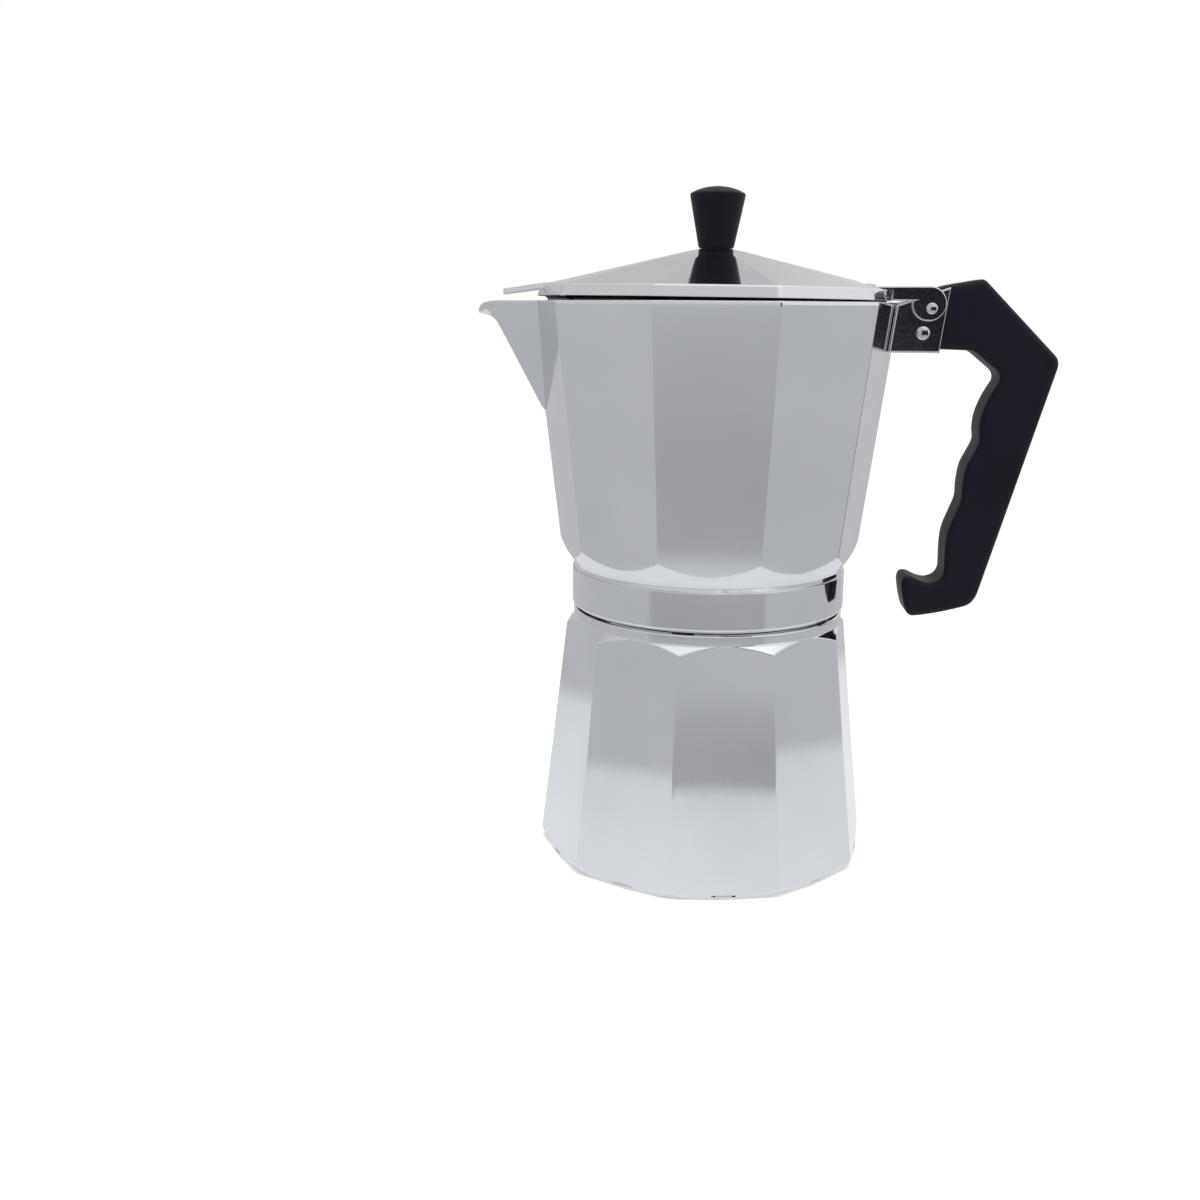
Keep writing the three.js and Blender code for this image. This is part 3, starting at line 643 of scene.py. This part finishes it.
# ---------------------------------------------------------------- bracket and strap
SHEET_HALF = 0.6            # half of the sheet's thickness
CHEEK_MIDDLE = 9.6          # middle of a cheek's sheet, from y = 0
CHEEK_END = 15.4            # how far a cheek reaches out from the wall's sharp corner
WEB_MIDDLE = -1.08 + SHEET_HALF
WEB_HALF = 3.6              # half of the flat web between the two bends
BRACKET_LOW_Z = 190.4
BRACKET_TOP_Z = 213.3       # top of a cheek
WEB_TOP_Z = 207.4           # top of the web between the cheeks


def bracket_path():
    """Middle line of the folded sheet in plan, x measured from the wall's sharp corner."""
    wing_x = WEB_MIDDLE - (CHEEK_MIDDLE - WEB_HALF) * SLOPE
    half = [(CHEEK_END, CHEEK_MIDDLE), (wing_x, CHEEK_MIDDLE, 0.35), (WEB_MIDDLE, WEB_HALF, 1.5)]
    mirrored = [(point[0], -point[1], *point[2:]) for point in half[::-1]]
    return rounded(half + mirrored, 6)


def sheet_section(top):
    """The sheet's upright section with round edges, as (share of the half thickness, height)."""
    above_low = [(0.2, 0.0), (0.6, 0.12), (0.92, 0.4), (1.0, 0.8), (1.0, 6.0), (1.0, 14.0)]
    below_top = [(1.0, 0.8), (0.92, 0.4), (0.6, 0.12), (0.2, 0.0)]
    face = [(share, BRACKET_LOW_Z + d) for share, d in above_low]
    face += [(share, top - d) for share, d in below_top]
    return face + [(-share, z) for share, z in face[::-1]]


def build_bracket():
    """The sheet's section carried along its path, leaning with the wall and thinned at its two ends."""
    path = bracket_path()
    inside = Vector((5, 0))
    thinning = [(0.0, 0.05), (0.12, 0.6), (0.35, 0.9), (0.6, 1.0)]
    first = [((path[0][0] - d, path[0][1]), share) for d, share in thinning]
    last = [((path[-1][0] - d, path[-1][1]), share) for d, share in thinning[::-1]]
    stations = first + [(spot, 1.0) for spot in path[1:-1]] + last
    columns = []
    for i, (spot, width) in enumerate(stations):
        here = Vector(spot)
        along = Vector(stations[min(i + 1, len(stations) - 1)][0]) - Vector(stations[max(i - 1, 0)][0])
        along.normalize()
        across = Vector((along.y, -along.x))
        if across.dot(here - inside) < 0:
            across = -across
        on_cheek = abs(here.y) > CHEEK_MIDDLE - 0.4 and here.x > -1.2
        column = []
        for share, z in sheet_section(BRACKET_TOP_Z if on_cheek else WEB_TOP_Z):
            point = here + across * share * SHEET_HALF * width
            column.append(Vector((collector_radius(z) + point.x, point.y, z)))
        columns.append(column)
    sheet = swept("bracket_sheet", columns)
    weighted(sheet)
    return sheet


EAR_X, EAR_Z, EAR_R = 75.8, 207.6, 6.1      # the round end of an ear, before the lid's resting tilt
EAR_SIDES = (-11.0, 11.0)
EAR_ROOT_X = 62.4
STRAP_TOP_Z = 213.4
STRAP_EDGE = 11.5           # outside of the strap's bent-down edges
STRAP_EDGE_IN = 10.5
STRAP_SHEET = 0.95


def ear_outline():
    """An ear in x and z: a short arm from the strap and a round end that holds the hinge pin."""
    line = [(EAR_ROOT_X, STRAP_TOP_Z), (EAR_ROOT_X, 208.6), (69.9, 208.6)]
    for k in range(33):
        a = math.pi * (0.95 + (2.5 - 0.95) * k / 32)
        line.append((EAR_X + EAR_R * math.cos(a), EAR_Z + EAR_R * math.sin(a)))
    return line


def build_strap():
    """A plate with its long edges bent down, and an ear at each side."""
    foot_z = STRAP_TOP_Z - 1.2
    under_z = STRAP_TOP_Z - STRAP_SHEET
    section = rounded([
        (-STRAP_EDGE, foot_z), (-STRAP_EDGE, STRAP_TOP_Z, 1.1),
        (STRAP_EDGE, STRAP_TOP_Z, 1.1), (STRAP_EDGE, foot_z),
        (STRAP_EDGE_IN, foot_z), (STRAP_EDGE_IN, under_z, 0.2),
        (-STRAP_EDGE_IN, under_z, 0.2), (-STRAP_EDGE_IN, foot_z),
    ], 5, True)
    middle = sum(z for _, z in section) / len(section)
    thickness = (
        (52.0, 0.55), (52.1, 0.85), (52.4, 1.0), (58, 1.0), (63.8, 1.0), (64.1, 0.85), (64.2, 0.55),
    )
    columns = []
    for x, keep in thickness:
        columns.append([(x, y * (1 - 0.02 * (1 - keep)), middle + (z - middle) * keep) for y, z in section])
    strap = swept("strap_sheet", columns)
    ear_half, ear_round = 0.5, 0.45
    ears = [side_slab(f"ear_{i}", ear_outline(), ear_half, ear_round, y) for i, y in enumerate(EAR_SIDES, 1)]
    carve(strap, ears, "UNION")
    smooth(strap, 50)
    weighted(strap)
    return tilt(strap)


# ---------------------------------------------------------------- materials
def material(name):
    mat = bpy.data.materials.new(name)
    mat.use_nodes = True
    tree = mat.node_tree
    shader = tree.nodes["Principled BSDF"]
    where = tree.nodes.new("ShaderNodeTexCoord").outputs["Object"]
    return mat, tree, shader, where


def node(tree, kind, inputs=None, **settings):
    """A shader node; an input is either a number or another node's socket."""
    made = tree.nodes.new("ShaderNode" + kind)
    for key, value in settings.items():
        setattr(made, key, value)
    for key, value in (inputs or {}).items():
        if hasattr(value, "is_output"):
            tree.links.new(value, made.inputs[key])
        else:
            made.inputs[key].default_value = value
    return made


def noise(tree, where, scale, detail=3.0, rough=0.5, stretch=None):
    if stretch:
        where = node(tree, "Mapping", {"Vector": where, "Scale": stretch}).outputs[0]
    made = node(tree, "TexNoise", {"Vector": where, "Scale": scale, "Detail": detail, "Roughness": rough})
    return made.outputs["Fac"]


def ramp(tree, value, low, high, out_low, out_high):
    """The value, moved from low..high to out_low..out_high and held at the ends."""
    made = node(tree, "MapRange", {"Value": value, "From Min": low, "From Max": high,
                                   "To Min": out_low, "To Max": out_high})
    return made.outputs[0]


def blend(tree, factor, one, two):
    made = node(tree, "Mix", data_type="RGBA")
    tree.links.new(factor, made.inputs["Factor"])
    made.inputs["A"].default_value = (*one, 1)
    made.inputs["B"].default_value = (*two, 1)
    return made.outputs["Result"]


def bumps(tree, layers):
    """Bump nodes in a chain: (height, strength, distance in metres)."""
    normal = None
    for height, strength, distance in layers:
        made = node(tree, "Bump", {"Height": height, "Strength": strength, "Distance": distance})
        if normal is not None:
            tree.links.new(normal, made.inputs["Normal"])
        normal = made.outputs[0]
    return normal


def metal(name, light, dark, rough, waves, grain, stretch, pits=0.0):
    """A metal with soft tone changes, uneven gloss, slow waves from polishing and a fine grain."""
    mat, tree, shader, where = material(name)
    shader.inputs["Metallic"].default_value = 1.0
    cloudy = ramp(tree, noise(tree, where, 22, 2, 0.55), 0.35, 0.65, 0, 1)
    tree.links.new(blend(tree, cloudy, light, dark), shader.inputs["Base Color"])
    smear = noise(tree, where, 60, 4, 0.6, (1, 1, 0.35))
    lines = noise(tree, where, 900, 2, 0.5, stretch)
    gloss = node(tree, "Math", {0: ramp(tree, smear, 0.3, 0.75, rough[0], rough[1]),
                                1: ramp(tree, lines, 0.3, 0.7, -0.012, 0.02)}, operation="ADD")
    tree.links.new(gloss.outputs[0], shader.inputs["Roughness"])
    layers = [(noise(tree, where, 16, 1, 0.4), waves, 0.0012), (lines, grain, 0.00003)]
    if pits:
        spots = node(tree, "TexVoronoi", {"Vector": where, "Scale": 420}).outputs["Distance"]
        layers.append((ramp(tree, spots, 0.0, 0.12, 0, 1), pits, 0.00004))
    tree.links.new(bumps(tree, layers), shader.inputs["Normal"])
    return mat


def plastic(name, light, dark, rough):
    """Moulded black phenolic: slightly cloudy, fine orange peel, faint rub marks."""
    mat, tree, shader, where = material(name)
    cloudy = ramp(tree, noise(tree, where, 40, 3, 0.6), 0.3, 0.7, 0, 1)
    tree.links.new(blend(tree, cloudy, light, dark), shader.inputs["Base Color"])
    rub = noise(tree, where, 90, 5, 0.65, (1, 1, 0.5))
    tree.links.new(ramp(tree, rub, 0.3, 0.75, rough[0], rough[1]), shader.inputs["Roughness"])
    shader.inputs["Specular IOR Level"].default_value = 0.12
    peel = noise(tree, where, 700, 2, 0.5)
    slow = noise(tree, where, 60, 1, 0.4)
    tree.links.new(bumps(tree, [(slow, 0.1, 0.0008), (peel, 0.12, 0.00004)]), shader.inputs["Normal"])
    return mat


def rubber(name):
    """Moulded silicone, dull and slightly uneven in tone."""
    mat, tree, shader, where = material(name)
    cloudy = noise(tree, where, 120, 3, 0.6)
    tree.links.new(blend(tree, cloudy, (0.80, 0.77, 0.70), (0.70, 0.66, 0.58)), shader.inputs["Base Color"])
    tree.links.new(ramp(tree, noise(tree, where, 300, 3), 0.3, 0.7, 0.5, 0.7), shader.inputs["Roughness"])
    tree.links.new(bumps(tree, [(noise(tree, where, 1500, 2), 0.2, 0.00005)]), shader.inputs["Normal"])
    return mat


POLISHED = metal("polished_aluminium", (0.745, 0.757, 0.78), (0.705, 0.718, 0.745), (0.045, 0.09), 0.10, 0.10,
                 (1, 1, 0.03))
INSIDE = metal("cast_aluminium_inside", (0.62, 0.625, 0.63), (0.53, 0.54, 0.55), (0.30, 0.42), 0.15, 0.35,
               (1, 1, 1), 0.25)
SPUN = metal("spun_aluminium", (0.70, 0.705, 0.71), (0.63, 0.635, 0.64), (0.24, 0.36), 0.10, 0.35,
             (0.15, 0.15, 1.0))
STEEL = metal("stamped_steel", (0.60, 0.60, 0.615), (0.52, 0.52, 0.54), (0.06, 0.12), 0.06, 0.15,
              (0.04, 1, 1))
BRASS = metal("brass", (0.72, 0.53, 0.23), (0.58, 0.41, 0.17), (0.18, 0.32), 0.08, 0.25, (0.3, 0.3, 1))
BLACK = plastic("black_phenolic", (0.0085, 0.0075, 0.0150), (0.0060, 0.0055, 0.0110), (0.42, 0.54))
WHITE = rubber("silicone_ring")


# ---------------------------------------------------------------- pieces
def split_inside(obj, test):
    """Puts faces that pass the test (centre and normal, in mm) on the second material slot."""
    for face in obj.data.polygons:
        if test(face.center / MM, face.normal):
            face.material_index = 1


def inward(centre, normal):
    return centre.x * normal.x + centre.y * normal.y < 0


def from_axis(centre):
    return math.hypot(centre.x, centre.y)


def inside_boiler(centre, normal):
    """The boiler's unpolished faces: its inside, its floor and its flat foot."""
    bore = from_axis(centre) < 57.5 and inward(centre, normal) and 3 < centre.z < 104.9
    floor = normal.z > 0.5 and centre.z < 8
    foot = centre.z < 0.4 and from_axis(centre) < 58.6
    return bore or floor or foot


def inside_collector(centre, normal):
    """The collector's unpolished faces: its inside up to the rim, its floor and its threaded foot."""
    bore = inward(centre, normal) and 110 < centre.z < RIM_Z - 0.5 and centre.x >= -79
    floor = normal.z > 0.5 and centre.z < 122
    foot = from_axis(centre) < 49 and centre.z < 112
    return bore or floor or foot


def under_lid(centre, normal):
    return normal.z < -0.2 and centre.z > 207 and from_axis(centre) < 60.8


boiler = place(build_boiler(), "base_unit", POLISHED, ["boiler"], INSIDE)
split_inside(boiler, inside_boiler)
vessel = place(build_collector(), "collector", POLISHED, ["collector_vessel"], INSIDE)
split_inside(vessel, inside_collector)
lid = place(build_lid(), "lid", POLISHED, ["lid_shell"], INSIDE)
split_inside(lid, under_lid)

place(build_handle(), "collector", BLACK, ["handle"])

knob = tilt(lathe("knob_grip", [
    (0, 237), (2.1, 237, 0.2), (2.1, 226.0, 0.1), (6.0, 226.0, 0.2), (6.45, 226.6, 0.3), (7.25, 230.6),
    (8.05, 234.6), (8.85, 238.6), (9.6, 242.4), (10.03, 244.65, 0.4), (9.7, 245.15, 0.5), (8.6, 245.75),
    (7.2, 246.35), (5.6, 246.87), (4, 247.25), (2.0, 247.52), (0, 247.6),
], 112))
place(knob, "lid", BLACK, ["knob"])

place(build_bracket(), "collector", STEEL, ["hinge_bracket"])
place(build_strap(), "lid", STEEL, ["lid_strap"])


def headed(name, x, z, r, shank, head_r, head_t):
    """A pin across the pot at x and z, with a domed head at each end of its shank."""
    end = shank + head_t
    half = [
        (0, end), (head_r * 0.4, end - 0.03), (head_r * 0.75, end - 0.13, 0.3),
        (head_r, end - head_t * 0.7, 0.2), (head_r, shank, 0.1), (r, shank),
    ]
    mirrored = [(point[0], -point[1], *point[2:]) for point in half]
    obj = lathe(name, mirrored + half[::-1], 48)
    obj.data.transform(Matrix.Rotation(-math.pi / 2, 4, "X"))
    obj.data.transform(Matrix.Translation((x * MM, 0, z * MM)))
    return obj


handle_rivet = headed("handle_rivet_pin", 74.3, 197.4, 1.8, 10.5, 2.4, 0.6)
place(handle_rivet, "collector", STEEL, ["handle_rivet"])
hinge_pin = headed("hinge_pin_rod", PIN_X, PIN_Z, 1.4, 11.8, 2.0, 0.5)
place(hinge_pin, "collector", STEEL, ["hinge_pin"])

LEANING = Matrix.Translation((collector_radius(LEAN_Z) * MM, 0, LEAN_Z * MM)) @ Matrix.Rotation(LEAN, 4, "Y")
for label, rivet_z in (("lower", 194.5), ("upper", 201.5)):
    rivet = lathe(f"wall_rivet_{label}", [
        (0, -9), (1.6, -8.8), (3, -8, 0.4), (3.4, -6.9, 0.2), (2.2, -6.9), (2.2, 0.6), (3.2, 0.6, 0.1),
        (3.2, 1.2, 0.2), (0, 1.6),
    ], 40)
    rivet.data.transform(Matrix.Rotation(math.pi / 2, 4, "Y"))
    rivet.data.transform(LEANING @ Matrix.Translation((0, 0, (rivet_z - LEAN_Z) * MM)))
    place(rivet, "collector", STEEL, [f"bracket_rivet_{label}"])

for number, y in ((1, 5.5), (2, -5.5)):
    rivet = tilt(lathe(f"strap_rivet_head_{number}", [
        (0, 208.7), (2, 208.7, 0.3), (2.6, 209.2, 0.2), (2.6, 209.7), (1.5, 209.7), (1.5, 213.7),
        (2.6, 213.7, 0.1), (2.2, 214.2, 0.3), (0, 214.4),
    ], 40, centre=(55, y)))
    place(rivet, "lid", STEEL, [f"strap_rivet_{number}"])

basket = lathe("funnel_basket_spun", [
    (46.2, 105.3, 0.15), (46.2, 106.3, 0.2), (42.7, 106.3, 0.5), (42.7, 80.4, 0.2), (41.4, 80.4, 0.2),
    (41.4, 79.6, 0.4), (6.5, 66, 1.5), (6.5, 58, 0.2), (7.4, 58, 0.2), (7.4, 65.3, 1.5), (42.3, 78.6, 1.5),
    (43.6, 79.6, 0.6), (43.6, 105.3, 0.4),
], 120, True)
place(basket, "funnel", SPUN, ["funnel_basket"])

stem = lathe("funnel_stem_tube", [
    (5.3, 9, 0.15), (6.2, 9, 0.2), (6.2, 64.5, 0.2), (5.3, 64.5, 0.15),
], 64, True)
place(stem, "funnel", SPUN, ["funnel_stem"])

gasket = lathe("gasket_ring", [
    (41, 106.6, 0.3), (46.9, 106.6, 0.3), (47.3, 107, 0.3), (47.3, 109.6, 0.3), (46.9, 110, 0.3),
    (41, 110, 0.3),
], 120, True)
place(gasket, "seal", WHITE, ["gasket"])

column = lathe("riser_column_tube", [
    (4.3, 110.7, 0.1), (6, 110.7, 0.1), (6, 113.8, 0.1), (11, 113.8, 0.2), (11, 114.9, 0.3),
    (8.8, 116.5, 1.5), (6.6, 164, 0.3), (5.6, 164, 0.2), (5.6, 172, 0.2), (4.3, 172, 0.2),
], 80, True)
place(column, "collector", SPUN, ["riser_column"])

washer = tilt(lathe("knob_washer_ring", [
    (2.1, 221.7, 0.1), (5.4, 221.7, 0.2), (5.4, 222.7, 0.2), (2.1, 222.7, 0.1),
], 48, True))
place(washer, "lid", STEEL, ["knob_washer"])

for name, mat in (
    ("basket_strainer", SPUN), ("filter_plate", SPUN), ("column_cap", SPUN), ("knob_screw", STEEL),
    ("valve_body", BRASS), ("valve_cap", BRASS), ("valve_pin", STEEL), ("valve_spring", STEEL),
):
    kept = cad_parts[name]
    kept.data.materials.clear()
    kept.data.materials.append(mat)


# ---------------------------------------------------------------- studio
def plane(name, corners, mat):
    """A stage surface; its corners are in metres."""
    verts = [Vector(c) for c in corners]
    mesh = bpy.data.meshes.new(name)
    mesh.from_pydata(verts, [], [tuple(range(len(verts)))])
    obj = bpy.data.objects.new(name, mesh)
    bpy.context.scene.collection.objects.link(obj)
    obj.data.materials.append(mat)
    return obj


def mixed(tree, factor, one, two):
    """A number between one and two, either of which may be a socket."""
    return node(tree, "Mix", {"Factor": factor, "A": one, "B": two}, data_type="FLOAT").outputs["Result"]


# Brightness of what the metal mirrors of the floor, and where it changes, in metres from the pot's axis.
NEAR_LEVELS = (0.93, 0.84)      # beside the pot, and at the near zone's edge
FRONT_LEVEL = 0.475
ASIDE_LEVEL = 0.59
FAR_LEVEL = 0.60
NEAR_EDGE = (0.29, 0.34)
FAR_EDGE = (0.5, 1.1)


def floor_material():
    """Pale paper lit from above for the camera; glossy rays see a painted reflection instead, an emission
    brighter near the pot, and darker in front than aside.
    """
    mat = bpy.data.materials.new("floor_paper_and_painted_reflection")
    mat.use_nodes = True
    tree = mat.node_tree
    tree.nodes.clear()
    out = node(tree, "OutputMaterial")
    where = node(tree, "NewGeometry").outputs["Position"]
    axes = node(tree, "SeparateXYZ", {0: where})
    paper = node(tree, "BsdfDiffuse", {"Color": (0.93, 0.93, 0.93, 1)})
    reach = node(tree, "VectorMath", {0: where}, operation="LENGTH").outputs["Value"]
    slope = node(tree, "Math", {0: axes.outputs["X"], 1: axes.outputs["Y"]}, operation="DIVIDE").outputs[0]
    aside = node(tree, "Math", {0: slope}, operation="ABSOLUTE").outputs[0]
    behind = ramp(tree, axes.outputs["Y"], -0.02, 0.0, 0, 1)
    beside = ramp(tree, aside, 0.95, 1.1, 0, 1)
    wide = node(tree, "Math", {0: beside, 1: behind}, operation="MAXIMUM").outputs[0]
    level = mixed(tree, wide, FRONT_LEVEL, ASIDE_LEVEL)
    level = mixed(tree, ramp(tree, reach, *FAR_EDGE, 0, 1), level, FAR_LEVEL)
    near = ramp(tree, reach, 0.08, 0.3, *NEAR_LEVELS)
    level = mixed(tree, ramp(tree, reach, *NEAR_EDGE, 1, 0), level, near)
    # Painted reflection: an emission of set brightness that only glossy rays see, standing in for the lit
    # floor and room.
    mirrored = node(tree, "Emission", {"Color": (0.96, 0.975, 1.0, 1), "Strength": level})
    path = node(tree, "LightPath")
    white = node(tree, "Emission", {"Color": (1, 1, 1, 1), "Strength": 1.05})
    fade = node(tree, "MixShader", {0: ramp(tree, reach, 0.14, 0.4, 0, 1)})
    tree.links.new(paper.outputs[0], fade.inputs[1])
    tree.links.new(white.outputs[0], fade.inputs[2])
    mix = node(tree, "MixShader", {0: path.outputs["Is Glossy Ray"]})
    tree.links.new(fade.outputs[0], mix.inputs[1])
    tree.links.new(mirrored.outputs[0], mix.inputs[2])
    tree.links.new(mix.outputs[0], out.inputs["Surface"])
    return mat


plane("floor", [(-6, -6, 0), (6, -6, 0), (6, 6, 0), (-6, 6, 0)], floor_material())

world = bpy.data.worlds.new("studio")
bpy.context.scene.world = world
world.use_nodes = True
sky = world.node_tree
sky.nodes.clear()
axes = node(sky, "SeparateXYZ", {0: node(sky, "TexCoord").outputs["Generated"]})
height = ramp(sky, axes.outputs["Z"], 0.6, 0.85, 0.60, 1.0)
right = ramp(sky, axes.outputs["X"], 0.06, 0.26, 0.0, 0.24)
facing = ramp(sky, axes.outputs["Y"], -0.3, 0.3, 0.14, 0.0)
both = node(sky, "Math", {0: height, 1: right}, operation="ADD").outputs[0]
level = node(sky, "Math", {0: both, 1: facing}, operation="ADD").outputs[0]
room = node(sky, "Background", {"Color": (0.98, 0.99, 1.0, 1), "Strength": level})
seen = node(sky, "Background", {"Color": (1, 1, 1, 1), "Strength": 1.0})
mix = node(sky, "MixShader", {0: node(sky, "LightPath").outputs["Is Camera Ray"]})
sky.links.new(room.outputs[0], mix.inputs[1])
sky.links.new(seen.outputs[0], mix.inputs[2])
sky.links.new(mix.outputs[0], node(sky, "OutputWorld").inputs["Surface"])


def area(name, spot, target, size, power):
    """A soft rectangular light that lights the pot but isn't mirrored by it."""
    light = bpy.data.lights.new(name, "AREA")
    light.shape = "RECTANGLE"
    light.size, light.size_y = size
    light.energy = power
    obj = bpy.data.objects.new(name, light)
    obj.location = spot
    obj.rotation_euler = (Vector(target) - Vector(spot)).to_track_quat("-Z", "Y").to_euler()
    obj.visible_camera = False
    obj.visible_glossy = False
    bpy.context.scene.collection.objects.link(obj)


area("softbox_top", (0, 0.1, 1.5), (0, 0, 0.1), (1.6, 1.6), 17)
area("strip_right", (0.9, -0.35, 0.75), (0.05, 0, 0.16), (0.35, 0.9), 3.5)
area("strip_left", (-0.85, -0.25, 0.8), (0, 0, 0.18), (0.3, 0.8), 2.0)


def emitter(name, color, strength):
    mat = bpy.data.materials.new(name)
    mat.use_nodes = True
    tree = mat.node_tree
    tree.nodes.clear()
    lit = node(tree, "Emission", {"Color": (*color, 1), "Strength": strength})
    tree.links.new(lit.outputs[0], node(tree, "OutputMaterial").inputs["Surface"])
    return mat


# A dark studio flag behind the camera and to its right: a dimly glowing sheet, a painted dark reflection,
# which shows only where a surface mirrors it.
FLAG_LEFT, FLAG_RIGHT = 0.115, 0.46
FLAG_LOW, FLAG_TOP = 0.12, 0.28
FLAG_Y = -0.6
flag = plane("flag", [
    (FLAG_LEFT, FLAG_Y, FLAG_LOW), (FLAG_RIGHT, FLAG_Y, FLAG_LOW),
    (FLAG_RIGHT, FLAG_Y, FLAG_TOP), (FLAG_LEFT, FLAG_Y, FLAG_TOP),
], emitter("flag_painted_dark_reflection", (0.8, 0.78, 1.0), 0.026))
flag.visible_camera = False
flag.visible_diffuse = False
flag.visible_shadow = False

# ---------------------------------------------------------------- camera
CAMERA_SPOT = (-0.0061, -0.4837, 0.2058)
CAMERA_YAW = 4.152          # degrees; positive turns to the left
CAMERA_PITCH = -12.895
CAMERA_ROLL = 0.390

camera = bpy.data.cameras.new("camera")
camera.sensor_width = 36
camera.sensor_fit = "HORIZONTAL"
camera.lens = 38.42
camera.clip_start = 0.01
view = bpy.data.objects.new("camera", camera)
view.matrix_world = (
    Matrix.Translation(CAMERA_SPOT)
    @ Matrix.Rotation(math.radians(CAMERA_YAW), 4, "Z")
    @ Matrix.Rotation(math.radians(90 + CAMERA_PITCH), 4, "X")
    @ Matrix.Rotation(math.radians(CAMERA_ROLL), 4, "Z")
)
bpy.context.scene.collection.objects.link(view)
bpy.context.scene.camera = view
bpy.context.scene.view_settings.view_transform = "Standard"
